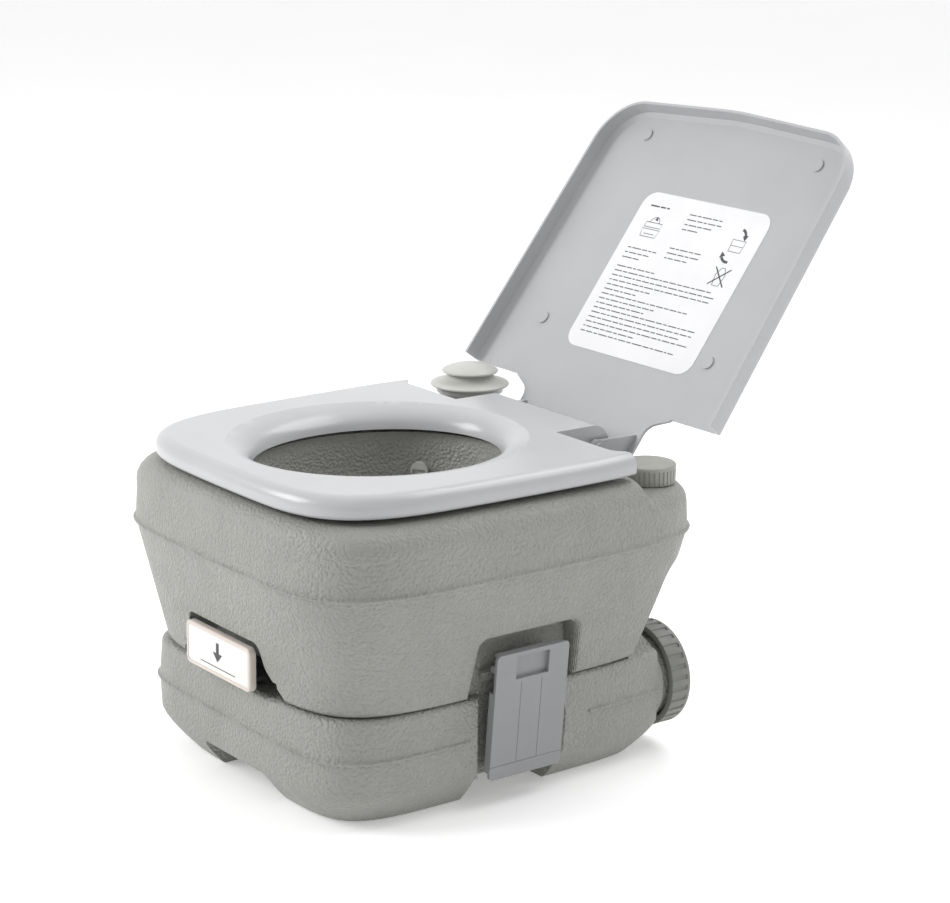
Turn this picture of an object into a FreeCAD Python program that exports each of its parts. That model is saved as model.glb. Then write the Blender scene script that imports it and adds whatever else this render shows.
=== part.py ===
"""Portable flush toilet: flush tank with bowl, seat and lid on a removable waste tank.

Millimetres. +Z up, front (pull handle) at -Y, origin on the floor under the middle of the body.
Every sub-part is one function that returns its solid or solids, and is written to parts/NODE.step.
"""
import FreeCAD, Part
import math
import os

V = FreeCAD.Vector
AXIS_X = V(1, 0, 0)
AXIS_Y = V(0, 1, 0)
AXIS_Z = V(0, 0, 1)

# ---------------------------------------------------------------- overall sizes
BODY_WIDTH = 365.0          # across the upper girth bead
BODY_LENGTH = 413.0         # front to back over the upper girth bead
PARTING_Z = 97.0            # top of the waste tank
GIRTH_Z = 205.0             # upper girth bead
DECK_Z = 243.0              # rear deck of the flush tank
SHOULDER_Z = 260.0          # top of the flush tank under the seat
TANK_WALL = 3.5             # blow-moulded wall
BEAD_PROUD = 1.8            # how far both girth beads stand out
BEAD_HEIGHT = 4.4
TANK_GAP = 0.3              # between the two tanks
RUN_GAP = 0.3               # between faces that slide past each other
PIN_GAP = 0.05              # radial, a pin in a turning hole
HALF_WIDTH = BODY_WIDTH / 2
HALF_LENGTH = BODY_LENGTH / 2
HALF_GIRTH_W = HALF_WIDTH - BEAD_PROUD
HALF_GIRTH_L = HALF_LENGTH - BEAD_PROUD

# ---------------------------------------------------------------- waste tank
WASTE_BEAD_Z = PARTING_Z - 35.0
WASTE_BEAD_HALF_W = HALF_WIDTH - 23.0
WASTE_BEAD_FRONT = 20.5 - HALF_LENGTH
WASTE_REAR = HALF_LENGTH - 51.5     # flat rear face
WASTE_POWER = 6.3           # squareness of the plan outline
EDGE_R = 5.0                # rounded edges at the parting line
CHAMFER_Z = 33.0            # height where the lower wall turns under
CHAMFER_IN = 26.5           # how far it turns under
FOOT_ARCH_HALF_W = 50.0
FOOT_ARCH_Z = 27.0
FOOT_ARCH_REAR = WASTE_REAR - 49.0
SIDE_ARCH_FRONT = -46.0
SIDE_ARCH_REAR = 43.0
SIDE_ARCH_Z = 25.0
RAIL_OUTER = 82.0           # the under rails run between FOOT_ARCH_HALF_W and this

# ---------------------------------------------------------------- flush tank
WALL_TAPER = 22.5           # how far the wall leans in from girth to parting line
FLUSH_POWER = 5.0
REAR_FOOT_Y = HALF_LENGTH - 88.5    # rear wall of the flush tank at the parting line
NOTCH_Y = HALF_LENGTH - 88.5        # front of the rear deck
DECK_ROUND = 15.0
SHOULDER_ROUND = 21.0
MOUTH_R = 7.0               # rounded mouth of the latch bay
ARCH_HALF_W = 58.0
ARCH_KNEE_Z = PARTING_Z + 25.0      # the arch flares below this
ARCH_TOP_Z = PARTING_Z + 47.0
ARCH_DEPTH_Y = 46.5 - HALF_LENGTH
FLUSH_FLOOR = PARTING_Z + TANK_GAP

# ---------------------------------------------------------------- bowl
BOWL_Y = -35.0
BOWL_HALF_X = 100.0
BOWL_HALF_Y = 120.0
OUTLET_R = 44.0
# share of the bowl's height, and of its widening from the outlet to the rim
BOWL_FORM = [(0.216, 0.287), (0.42, 0.595), (0.625, 0.805), (0.83, 0.94), (1.0, 1.0)]

# ---------------------------------------------------------------- slide valve
PLATE_HALF_W = OUTLET_R + 22.0
PLATE_FRONT = 44.5 - HALF_LENGTH
PLATE_REAR = BOWL_Y + OUTLET_R + 18.0
PLATE_R = 14.0
BASE_T = 4.0
BLADE_T = 4.0
BLADE_HALF_W = OUTLET_R + 9.0
BLADE_LAP = 8.0             # the blade reaches this far past the outlet
COVER_T = 4.0
SEAL_T = 2.0
SEAL_WIDTH = 6.0
BOWL_SEAL_T = 3.5
BOWL_SEAL_WIDTH = 9.0
VALVE_SCREW_R = 2.0
SCREW_BITE = 8.0            # how deep the valve screws go into the waste tank
HANDLE_HALF_W = 50.0
HANDLE_HEIGHT = 38.0
HANDLE_T = 6.5
HANDLE_R = 6.0
HANDLE_RIM = 3.5
HANDLE_DROP = 0.7           # the handle hangs this far below the blade
HANDLE_FRONT = 9.5 - HALF_LENGTH
HANDLE_REAR = HANDLE_FRONT + HANDLE_T
HANDLE_SCREW_R = 1.5
HANDLE_SCREW_X = 20.0
HANDLE_SCREW_BITE = 3.5
HANDLE_SCREW_HEAD_R = 3.0
HANDLE_FOOT_T = 4.0
BADGE_T = 1.2
BADGE_SINK = 0.3
BLADE_Z = PARTING_Z + BASE_T + RUN_GAP
COVER_Z = BLADE_Z + BLADE_T + RUN_GAP
BOWL_SEAL_Z = COVER_Z + COVER_T
POCKET_Z = BOWL_SEAL_Z + BOWL_SEAL_T + RUN_GAP
HANDLE_Z = BLADE_Z - HANDLE_DROP
HANDLE_SCREW_Z = BLADE_Z + 16.0

# ---------------------------------------------------------------- latches
LATCH_HALF_W = 37.5
LATCH_T = 3.0
LATCH_FOOT_Z = 25.0
LATCH_TOP_Z = PARTING_Z + 40.0
LATCH_PIN_Z = 33.0
LATCH_PIN_X = WASTE_BEAD_HALF_W - 2.5
LATCH_PIN_R = 2.5
LATCH_STANDOFF = 8.0        # pin axis to the outer face
LATCH_LEAN = 5.0            # degrees open at rest
EAR_T = 7.0                 # the tank's ears on the latch pin
EAR_R = 4.5
EAR_OUTER = LATCH_HALF_W - 12.0
HOOK_WIDTH = 12.0
HOOK_BITE = 2.0             # how far the hooks reach over the catch
BAY_HALF_W = LATCH_HALF_W + 4.5
WASTE_BAY_X = WASTE_BEAD_HALF_W - 13.5  # floor of the latch bay in the waste tank
FLUSH_BAY_X = WASTE_BAY_X + 2.0         # floor of the latch bay in the flush tank
FLUSH_BAY_HALF_W = BAY_HALF_W + 8.0
FLUSH_BAY_TOP = LATCH_TOP_Z + 14.0
BAY_R = 9.0
CATCH_Z = PARTING_Z + 20.0  # top of the catch the hook holds
CATCH_REACH = 7.0

# ---------------------------------------------------------------- hinge, seat and lid
HINGE_Y = NOTCH_Y + 24.0
HINGE_Z = SHOULDER_Z + 4.0
HINGE_PIN_R = 3.0
PIN_HEAD_R = 4.6
PIN_HEAD_T = 2.5
LUG_OUTER = 58.0
LUG_T = 10.0
LUG_R = 8.0
LUG_GAP = 0.5
SEAT_HALF_W = HALF_WIDTH - 14.2
SEAT_FRONT = 11.8 - HALF_LENGTH
SEAT_REAR = NOTCH_Y - 18.0
SEAT_Z = SHOULDER_Z + 4.0
SEAT_T = 19.0
SEAT_POWER = 4.4
SEAT_TAPER = 0.03
SEAT_WALL = 2.8
HOLE_HALF_X = 94.0
HOLE_HALF_Y = 112.0
SEAT_EDGE_R = 11.0
SEAT_UNDER_R = 4.0
ROLL_WIDTH = 40.0           # width of the rolled edge beside the opening
ROLL_LENGTHWISE = 0.65      # its share of that at the front and rear
SEAT_EAR = 11.0             # how far the seat reaches back beside the pump
SEAT_EAR_X = SEAT_HALF_W - 9.3
KNUCKLE_R = 18.3
KNUCKLE_WALL = 3.2
TONGUE_HALF_W = LUG_OUTER + 14.0
SEAT_PAD_R = 7.0
SEAT_PAD_X = SEAT_HALF_W - 38.0
LID_HALF_W = HALF_WIDTH - 14.3
LID_LENGTH = HINGE_Y + HALF_LENGTH - 0.5    # hinge axis to front edge
LID_REAR = 53.0             # hinge axis to the rear edge of the wide part
LID_RIM = 19.0
LID_TOP = 34.6              # hinge axis to the outer face
LID_T = 2.8
LID_CORNER_R = 48.0
LID_OPEN = 127.0            # degrees, rest position
CHEEK_T = 4.5
CHEEK_INNER = TONGUE_HALF_W + 3.0
CHEEK_REACH = 30.0          # how far the cheek runs along the lid
EYE_R = 7.0
NECK_HALF_W = CHEEK_INNER + 10.0
BUFFER_X = 115.0
BUFFER_R = 6.0
BUFFER_T = 1.6
LABEL_LEFT = -71.5
LABEL_RIGHT = 99.0
LABEL_NEAR = 94.0           # from the hinge axis, along the lid
LABEL_FAR = 260.0
LABEL_T = 0.4
LABEL_R = 15.0

# ---------------------------------------------------------------- caps and pump
CAP_X = HALF_WIDTH - 54.9
CAP_Y = HALF_LENGTH - 48.1
CAP_R = 23.7
CAP_HEIGHT = 15.8
CAP_TOP_T = 3.0
CAP_LIFT = 0.8              # the filler cap stands this far off the deck
FILL_NECK_R = CAP_R - 6.7
FILL_BORE_R = FILL_NECK_R - TANK_WALL
FILL_NECK_H = 10.5
FILL_GASKET_T = 1.8
SPOUT_CAP_R = 46.5
SPOUT_CAP_T = 21.5
SPOUT_X = WASTE_BEAD_HALF_W - SPOUT_CAP_R
SPOUT_Z = WASTE_BEAD_Z
SPOUT_NECK_R = SPOUT_CAP_R - 9.5
SPOUT_BORE_R = SPOUT_NECK_R - 4.0
SPOUT_CAP_Y = WASTE_REAR + 11.5
SPOUT_GASKET_T = 4.0
CAP_WALL = 3.5
THREAD_PROUD = 1.1
THREAD_HEIGHT = 1.8
FLUTE_COUNT = 30
BUTTON_R = 26.2
BUTTON_Z = DECK_Z + 47.0
FLARE_R = 36.6
FLARE_Z = DECK_Z + 36.0
COLLAR_R = 28.5
COLLAR_T = 4.0
BARREL_R = 19.0
BARREL_WALL = 2.5
BARREL_FOOT_Z = DECK_Z - 35.0
TAIL_R = 8.0
TAIL_BORE_R = 6.0
NOZZLE_Z = DECK_Z - 15.0
NOZZLE_R = 5.0
PIPE_R = 4.5
PIPE_BORE_R = 3.0

OUTLINE_POINTS = 48
ROLL_STEPS = 6
HINGE = V(0, HINGE_Y, HINGE_Z)
LATCH_PIN = V(LATCH_PIN_X, 0, LATCH_PIN_Z)
PUMP = V(-CAP_X, CAP_Y, 0)


# ================================================================ helpers
def box(x0, x1, y0, y1, z0, z1):
    return Part.makeBox(x1 - x0, y1 - y0, z1 - z0, V(x0, y0, z0))


def rod(radius, start, length, axis=AXIS_Z):
    return Part.makeCylinder(radius, length, start, axis)


def tube(outer, inner, start, length, axis=AXIS_Z):
    return rod(outer, start, length, axis).cut(rod(inner, start, length, axis))


def curve_wire(points):
    curve = Part.BSplineCurve()
    curve.interpolate(points, PeriodicFlag=True)
    return Part.Wire([curve.toShape()])


def outline(half_w, front, rear, power, z, taper=0.0):
    """Rounded plan outline: a superellipse whose squareness is power."""
    middle = (front + rear) / 2
    half_l = (rear - front) / 2
    points = []
    for i in range(OUTLINE_POINTS):
        turn = 2 * math.pi * (i + 0.5) / OUTLINE_POINTS + math.pi / 2
        c = math.cos(turn)
        s = math.sin(turn)
        u = math.copysign(abs(c) ** (2 / power), c)
        v = math.copysign(abs(s) ** (2 / power), s)
        points.append(V(half_w * u * (1 + taper * v), middle + half_l * v, z))
    return curve_wire(points)


def ellipse(half_x, half_y, centre_y, z):
    return outline(half_x, centre_y - half_y, centre_y + half_y, 2.0, z)


def loft(wires):
    """Straight bands between the outlines; a rounded edge is several narrow bands."""
    return Part.makeLoft(wires, True, True)


def rolled(steps=ROLL_STEPS):
    """(share of depth, share of height) along a quarter round, from its foot to its crown."""
    turns = [math.pi / 2 * i / steps for i in range(steps + 1)]
    return [(1 - math.cos(turn), math.sin(turn)) for turn in turns]


def prism(points, direction):
    """Extrudes a closed polygon of points along direction."""
    face = Part.Face(Part.makePolygon(points + [points[0]]))
    return face.extrude(direction)


def rounded_polygon(corners, radii):
    """Closed wire through corners with an arc of the given radius at each."""
    edges = []
    starts = []
    ends = []
    count = len(corners)
    for i in range(count):
        before = (corners[i - 1] - corners[i]).normalize()
        after = (corners[(i + 1) % count] - corners[i]).normalize()
        half = before.getAngle(after) / 2
        reach = radii[i] / math.tan(half)
        first = corners[i] + before * reach
        last = corners[i] + after * reach
        starts.append(first)
        ends.append(last)
        if radii[i] > 0:
            to_centre = (before + after).normalize()
            middle = corners[i] + to_centre * (radii[i] / math.sin(half) - radii[i])
            edges.append(Part.Arc(first, middle, last).toShape())
        following = (i + 1) % count
        corner = corners[following]
        back = (corners[i] - corner).normalize()
        ahead = (corners[(following + 1) % count] - corner).normalize()
        next_reach = radii[following] / math.tan(back.getAngle(ahead) / 2)
        edges.append(Part.LineSegment(last, corner + back * next_reach).toShape())
    return Part.Wire(edges)


def slab(corners, radii, direction):
    return Part.Face(rounded_polygon(corners, radii)).extrude(direction)


def edges_where(shape, test):
    return [edge for edge in shape.Edges if test(edge)]


def round_edges(shape, radius, test):
    chosen = edges_where(shape, test)
    return shape.makeFillet(radius, chosen) if chosen else shape


def mirrored(shape):
    return shape.mirror(V(0, 0, 0), AXIS_X)


def turned(shape, centre, axis, degrees):
    copy = shape.copy()
    copy.rotate(centre, axis, degrees)
    return copy


def save(name, solids):
    """Writes one node; several solids become one compound."""
    shape = solids[0] if len(solids) == 1 else Part.makeCompound(solids)
    shape.exportStep(os.path.join("parts", name + ".step"))
    print(name, "valid" if shape.isValid() else "INVALID", round(shape.Volume / 1000, 1), "cm3")


# ================================================================ waste tank
def waste_sections(inset):
    """(z, half width, front, rear) of the waste tank, shrunk by inset."""
    levels = [(0.0, CHAMFER_IN), (1.0, CHAMFER_IN - 2.0), (3.0, CHAMFER_IN - 4.2)]
    for i in range(1, ROLL_STEPS + 1):
        share = i / ROLL_STEPS
        levels.append((3.0 + (CHAMFER_Z - 3.0) * share, 1.2 + (CHAMFER_IN - 5.4) * (1 - share) ** 1.3))
    levels.append((WASTE_BEAD_Z, 0.0))
    for depth, height in rolled():
        levels.append((PARTING_Z - EDGE_R + EDGE_R * height, 1.8 + EDGE_R * depth))
    span = PARTING_Z - 2 * inset
    wires = []
    for z, drawn_in in levels:
        z_here = inset + z * span / PARTING_Z
        half_w = WASTE_BEAD_HALF_W - drawn_in - inset
        front = WASTE_BEAD_FRONT + drawn_in + inset
        rear = WASTE_REAR + 40 - drawn_in - inset
        wires.append(outline(half_w, front, rear, WASTE_POWER, z_here))
    return wires


def bay_tool(floor_x, z0, z1, grow):
    """Latch bay on the +X side; its mouth flares so the edges read as rounded."""
    half = BAY_HALF_W + grow
    floor = floor_x - grow
    lip = 8.0
    corners = []
    corners.append(V(floor, -half + 2, z0))
    corners.append(V(WASTE_BEAD_HALF_W - 5, -half, z0))
    corners.append(V(WASTE_BEAD_HALF_W + 4, -half - lip, z0))
    corners.append(V(WASTE_BEAD_HALF_W + 60, -half - lip, z0))
    corners += [V(p.x, -p.y, z0) for p in reversed(corners)]
    radii = [5.0, 7.0, 0.0, 0.0, 0.0, 0.0, 7.0, 5.0]
    return slab(corners, radii, V(0, 0, z1 - z0))


def waste_bay(grow):
    return bay_tool(WASTE_BAY_X, -20, PARTING_Z + 20, grow)


def waste_under_tools(grow):
    """Space under the tank between the feet: a front arch and two side arches."""
    arch = box(-FOOT_ARCH_HALF_W - grow, FOOT_ARCH_HALF_W + grow,
               WASTE_BEAD_FRONT - 50, FOOT_ARCH_REAR + grow, -10, FOOT_ARCH_Z + grow)
    arch = round_edges(arch, 9.0, lambda e: abs(e.CenterOfMass.z - FOOT_ARCH_Z - grow) < 1)
    side = box(RAIL_OUTER - grow, BODY_WIDTH, SIDE_ARCH_FRONT - grow,
               SIDE_ARCH_REAR + grow, -10, SIDE_ARCH_Z + grow)
    side = round_edges(side, 7.0, lambda e: e.CenterOfMass.z > -9 and e.BoundBox.XLength < 1)
    return [arch, side, mirrored(side)]


def waste_rear_tool(grow):
    """Everything behind the flat rear face and its bottom chamfer."""
    rear = WASTE_REAR - grow
    far = BODY_LENGTH
    corners = [V(-far, rear, 200), V(-far, rear, CHAMFER_Z)]
    corners += [V(-far, rear - 20, 3.0 + grow), V(-far, rear - 26, -10), V(-far, far, -10), V(-far, far, 200)]
    return slab(corners, [0, 12, 6, 0, 0, 0], V(2 * far, 0, 0))


def girth_bead(half_w, front, rear, power, z):
    """A slab whose rim is the rounded girth bead."""
    half = BEAD_HEIGHT / 2
    rows = [(-half, -0.6), (-half * 0.45, BEAD_PROUD - 0.3), (half * 0.1, BEAD_PROUD), (half, -0.6)]
    wires = [outline(half_w + out, front - out, rear + out, power, z + dz) for dz, out in rows]
    return loft(wires)


def waste_bead():
    bead = girth_bead(WASTE_BEAD_HALF_W, WASTE_BEAD_FRONT, WASTE_REAR + 40, WASTE_POWER, WASTE_BEAD_Z)
    gap = box(WASTE_BEAD_HALF_W - 40, BODY_WIDTH, -55, 72, 0, PARTING_Z)
    rear = box(-BODY_WIDTH, BODY_WIDTH, WASTE_REAR - 0.01, BODY_LENGTH, 0, PARTING_Z)
    return bead.cut([gap, mirrored(gap), rear])


def spout_boss():
    """Round boss that carries the spout's neck, blended into the rear of the tank."""
    start = V(SPOUT_X, WASTE_REAR - 42, SPOUT_Z)
    return Part.makeCone(SPOUT_NECK_R - 4.5, SPOUT_NECK_R + 4.5, 46.5, start, AXIS_Y)


def spout_neck():
    foot = WASTE_REAR - 3.5
    end = SPOUT_CAP_Y + SPOUT_CAP_T - CAP_WALL - SPOUT_GASKET_T - RUN_GAP
    neck = rod(SPOUT_NECK_R, V(SPOUT_X, foot, SPOUT_Z), end - foot, AXIS_Y)
    ridges = []
    for i in range(2):
        start = V(SPOUT_X, SPOUT_CAP_Y + 3.5 + 5.0 * i, SPOUT_Z)
        ridges.append(rod(SPOUT_NECK_R + THREAD_PROUD, start, THREAD_HEIGHT, AXIS_Y))
    return [neck] + ridges


def latch_lugs(side_floor):
    """Two ears in the latch bay that hold the pivot pin."""
    ears = []
    for y in (-EAR_OUTER, EAR_OUTER - EAR_T):
        foot = box(side_floor - 2, LATCH_PIN_X, y, y + EAR_T, LATCH_PIN_Z - EAR_R, LATCH_PIN_Z + EAR_R)
        nose = rod(EAR_R, V(LATCH_PIN_X, y, LATCH_PIN_Z), EAR_T, AXIS_Y)
        hole = rod(LATCH_PIN_R, V(LATCH_PIN_X, y - 1, LATCH_PIN_Z), EAR_T + 2, AXIS_Y)
        ears.append(foot.fuse(nose).cut(hole))
    return ears


def waste_tank():
    outer = loft(waste_sections(0.0)).fuse(waste_bead())
    bay = waste_bay(0.0)
    outer = cut_each(outer, [bay, mirrored(bay), waste_rear_tool(0.0)] + waste_under_tools(0.0))
    boss = spout_boss()
    outer = outer.fuse([boss] + spout_neck())
    inner_bay = waste_bay(TANK_WALL)
    inner = loft(waste_sections(TANK_WALL))
    tools = [inner_bay, mirrored(inner_bay), waste_rear_tool(TANK_WALL)] + waste_under_tools(TANK_WALL)
    inner = cut_each(inner, tools)
    bore_start = V(SPOUT_X, WASTE_REAR - 40, SPOUT_Z)
    bore = Part.makeCone(SPOUT_BORE_R - 5, SPOUT_BORE_R, 42, bore_start, AXIS_Y)
    exit_bore = rod(SPOUT_BORE_R, V(SPOUT_X, WASTE_REAR, SPOUT_Z), 60, AXIS_Y)
    mouth = rod(OUTLET_R, V(0, BOWL_Y, PARTING_Z - 10), 20)
    holes = screw_holes(VALVE_SCREW_R, PARTING_Z - 10, PARTING_Z + 1)
    shell = cut_each(outer, [inner, bore, exit_bore, mouth] + holes)
    for ear in latch_lugs(WASTE_BAY_X):
        shell = shell.fuse([ear, mirrored(ear)])
    return shell.Solids


# ================================================================ slide valve
def screw_places():
    rows = (PLATE_FRONT + 14, BOWL_Y - 35.0, PLATE_REAR - 10)
    return [(side * (PLATE_HALF_W - 5.5), y) for side in (-1, 1) for y in rows]


def screw_holes(radius, z0, z1):
    return [rod(radius, V(x, y, z0), z1 - z0) for x, y in screw_places()]


def valve_outline(z, height):
    corners = [V(-PLATE_HALF_W, PLATE_FRONT, z), V(PLATE_HALF_W, PLATE_FRONT, z),
               V(PLATE_HALF_W, PLATE_REAR, z), V(-PLATE_HALF_W, PLATE_REAR, z)]
    return slab(corners, [6, 6, PLATE_R, PLATE_R], V(0, 0, height))


def outlet_bore(z, height):
    return rod(OUTLET_R, V(0, BOWL_Y, z - 1), height + 2)


def seal_ring(z):
    return tube(OUTLET_R + SEAL_WIDTH, OUTLET_R, V(0, BOWL_Y, z), SEAL_T)


def valve_base_plate():
    plate = valve_outline(PARTING_Z, COVER_Z - PARTING_Z)
    channel = box(-BLADE_HALF_W - RUN_GAP, BLADE_HALF_W + RUN_GAP, PLATE_FRONT - 5,
                  PLATE_REAR - 6, PARTING_Z + BASE_T, COVER_Z + 1)
    groove = rod(OUTLET_R + SEAL_WIDTH, V(0, BOWL_Y, PARTING_Z + BASE_T - SEAL_T), SEAL_T + 1)
    holes = screw_holes(VALVE_SCREW_R, PARTING_Z - 1, COVER_Z + 1)
    return [plate.cut([channel, outlet_bore(PARTING_Z, BASE_T), groove] + holes)]


def valve_lower_seal():
    return [seal_ring(PARTING_Z + BASE_T - SEAL_T)]


def valve_cover_plate():
    plate = valve_outline(COVER_Z, COVER_T)
    groove = rod(OUTLET_R + SEAL_WIDTH, V(0, BOWL_Y, COVER_Z - 1), SEAL_T + 1)
    holes = screw_holes(VALVE_SCREW_R, COVER_Z - 1, COVER_Z + COVER_T + 1)
    return [plate.cut([outlet_bore(COVER_Z, COVER_T), groove] + holes)]


def valve_upper_seal():
    return [seal_ring(COVER_Z)]


def bowl_seal():
    return [tube(OUTLET_R + BOWL_SEAL_WIDTH, OUTLET_R, V(0, BOWL_Y, BOWL_SEAL_Z), BOWL_SEAL_T)]


def valve_screws():
    top = COVER_Z + COVER_T
    foot = PARTING_Z - SCREW_BITE
    screws = []
    for x, y in screw_places():
        shank = rod(VALVE_SCREW_R, V(x, y, foot), top - foot)
        head = rod(VALVE_SCREW_R * 1.9, V(x, y, top), 2.2)
        cross = box(x - 0.4, x + 0.4, y - 2.2, y + 2.2, top + 1.2, top + 3)
        screws.append(shank.fuse(head).cut([cross, turned(cross, V(x, y, 0), AXIS_Z, 90)]))
    return screws


def valve_gate():
    front = BOWL_Y - OUTLET_R - BLADE_LAP
    rear = BOWL_Y + OUTLET_R + BLADE_LAP
    blade = box(-BLADE_HALF_W, BLADE_HALF_W, front, rear, BLADE_Z, BLADE_Z + BLADE_T)
    blade = round_edges(blade, 10.0, lambda e: e.BoundBox.ZLength > 1)
    neck = box(-30, 30, HANDLE_REAR, front + 1, BLADE_Z, BLADE_Z + BLADE_T)
    foot = box(-34, 34, HANDLE_REAR, HANDLE_REAR + HANDLE_FOOT_T, BLADE_Z, BLADE_Z + 24)
    ribs = [box(x - 1.5, x + 1.5, HANDLE_REAR + 2, HANDLE_REAR + 16, BLADE_Z + 1, BLADE_Z + 9)
            for x in (-24, 0, 24)]
    gate = blade.fuse([neck, foot] + ribs)
    return [gate.cut(handle_screw_shanks()).removeSplitter()]


def handle_screw_shanks():
    length = HANDLE_SCREW_BITE + HANDLE_FOOT_T
    return [rod(HANDLE_SCREW_R, V(x, HANDLE_REAR - HANDLE_SCREW_BITE, HANDLE_SCREW_Z), length, AXIS_Y)
            for x in (-HANDLE_SCREW_X, HANDLE_SCREW_X)]


def handle_screws():
    screws = []
    for shank in handle_screw_shanks():
        start = V(shank.CenterOfMass.x, HANDLE_REAR + HANDLE_FOOT_T, HANDLE_SCREW_Z)
        screws.append(shank.fuse(rod(HANDLE_SCREW_HEAD_R, start, 2.0, AXIS_Y)))
    return screws


def handle_plate(rim, radius, y, depth):
    """Rounded plate as wide and high as the handle, less a rim."""
    half = HANDLE_HALF_W - rim
    z0 = HANDLE_Z + rim
    z1 = HANDLE_Z + HANDLE_HEIGHT - rim
    corners = [V(-half, y, z0), V(half, y, z0), V(half, y, z1), V(-half, y, z1)]
    return slab(corners, [radius] * 4, V(0, depth, 0))


def pull_handle():
    plate = handle_plate(0.0, HANDLE_R, HANDLE_FRONT, HANDLE_T)
    plate = round_edges(plate, 1.6, lambda e: abs(e.CenterOfMass.y - HANDLE_FRONT) < 0.1)
    recess = handle_plate(HANDLE_RIM, HANDLE_RIM, HANDLE_FRONT - 1, BADGE_T + 1)
    return [plate.cut([recess] + handle_screw_shanks())]


def pull_badge():
    return [handle_plate(HANDLE_RIM, HANDLE_RIM, HANDLE_FRONT + BADGE_SINK, BADGE_T - BADGE_SINK)]


# ================================================================ latches
def latch_plate():
    """The +X latch, upright; it is turned out by LATCH_LEAN for its rest place."""
    outer = LATCH_PIN_X + LATCH_STANDOFF
    inner = outer - LATCH_T
    corners = [V(inner, -LATCH_HALF_W, LATCH_FOOT_Z), V(inner, LATCH_HALF_W, LATCH_FOOT_Z),
               V(inner, LATCH_HALF_W, LATCH_TOP_Z), V(inner, -LATCH_HALF_W, LATCH_TOP_Z)]
    plate = slab(corners, [4, 4, 4, 4], V(LATCH_T, 0, 0))
    flanges = [box(inner - 5, inner, y, y + 2.4, LATCH_FOOT_Z + 6, LATCH_TOP_Z - 34)
               for y in (-LATCH_HALF_W, LATCH_HALF_W - 2.4)]
    tray = box(inner - 3, inner, -19, 19, LATCH_TOP_Z - 26, LATCH_TOP_Z - 2)
    dish = box(inner - 1, outer + 1, -17, 17, LATCH_TOP_Z - 24, LATCH_TOP_Z - 4)
    lip_half = LATCH_HALF_W - 4
    top_lip = box(inner - 6, inner, -lip_half, lip_half, LATCH_TOP_Z - 4, LATCH_TOP_Z - 1)
    wide = LATCH_HALF_W + 1
    step = box(outer - 0.5, outer + 1, -wide, wide, LATCH_FOOT_Z + 12, LATCH_FOOT_Z + 12.6)
    channels = [box(outer - 0.5, outer + 1, y, y + 0.6, LATCH_FOOT_Z + 13, LATCH_TOP_Z - 27)
                for y in (-11, 10.4)]
    plate = plate.fuse(flanges + [tray, top_lip]).cut([dish, step] + channels)
    return plate.fuse(latch_hooks(inner)).fuse(latch_barrel(inner)).removeSplitter()


def latch_hooks(inner):
    """Two hooks that close over the catch of the flush tank."""
    tip = FLUSH_BAY_X + CATCH_REACH - HOOK_BITE - 3.0
    under = CATCH_Z + RUN_GAP
    hooks = []
    for y in (-LATCH_HALF_W + 5, LATCH_HALF_W - 5 - HOOK_WIDTH):
        corners = [V(tip, y, under), V(inner, y, under), V(inner, y, under + 10), V(tip, y, under + 5)]
        hooks.append(prism(corners, V(0, HOOK_WIDTH, 0)))
    return hooks


def latch_barrel(inner):
    """Knuckle that turns on the pivot pin between the tank's ears."""
    half = EAR_OUTER - EAR_T - RUN_GAP
    barrel = rod(EAR_R + 0.5, V(LATCH_PIN_X, -half, LATCH_PIN_Z), 2 * half, AXIS_Y)
    web = box(LATCH_PIN_X, inner, -half, half, LATCH_PIN_Z - 4, LATCH_PIN_Z + 4)
    hole = rod(LATCH_PIN_R + PIN_GAP, V(LATCH_PIN_X, -half - 1, LATCH_PIN_Z), 2 * half + 2, AXIS_Y)
    return barrel.fuse(web).cut(hole)


def latch_right():
    return [turned(latch_plate(), LATCH_PIN, AXIS_Y, LATCH_LEAN)]


def latch_left():
    return [mirrored(latch_right()[0])]


def latch_pins():
    pin = rod(LATCH_PIN_R, V(LATCH_PIN_X, -EAR_OUTER, LATCH_PIN_Z), 2 * EAR_OUTER, AXIS_Y)
    return [pin, mirrored(pin)]


# ================================================================ flush tank
def flush_wires(levels, inset):
    """Plan outlines at (z, drawn in) levels, shrunk by inset."""
    wires = []
    for z, drawn_in in levels:
        half_w = HALF_GIRTH_W - drawn_in - inset
        half_l = HALF_GIRTH_L - drawn_in - inset
        wires.append(outline(half_w, -half_l, half_l, FLUSH_POWER, z))
    return wires


def flush_body(inset):
    """Body from the parting line to the deck, with rounded top and bottom edges."""
    floor = FLUSH_FLOOR + inset
    top = DECK_Z - inset
    foot = EDGE_R - inset
    crown = DECK_ROUND - inset
    levels = []
    for depth, height in reversed(rolled()):
        z = floor + foot * (1 - height)
        levels.append((z, WALL_TAPER * (GIRTH_Z - z) / (GIRTH_Z - floor) + foot * depth))
    levels.append((GIRTH_Z, 0.0))
    levels += [(top - crown * (1 - height), 1.0 + crown * depth) for depth, height in rolled()]
    return loft(flush_wires(levels, inset))


def plateau(inset, grow):
    """Raised top that carries the seat, cut back over the rear deck."""
    top = SHOULDER_Z - inset
    levels = [(GIRTH_Z + 8, 2.0)]
    crown = SHOULDER_ROUND - inset
    levels += [(top - crown * (1 - height), 1.0 + crown * depth) for depth, height in rolled()]
    block = loft(flush_wires(levels, inset))
    return block.cut(deck_tool(grow))


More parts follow.
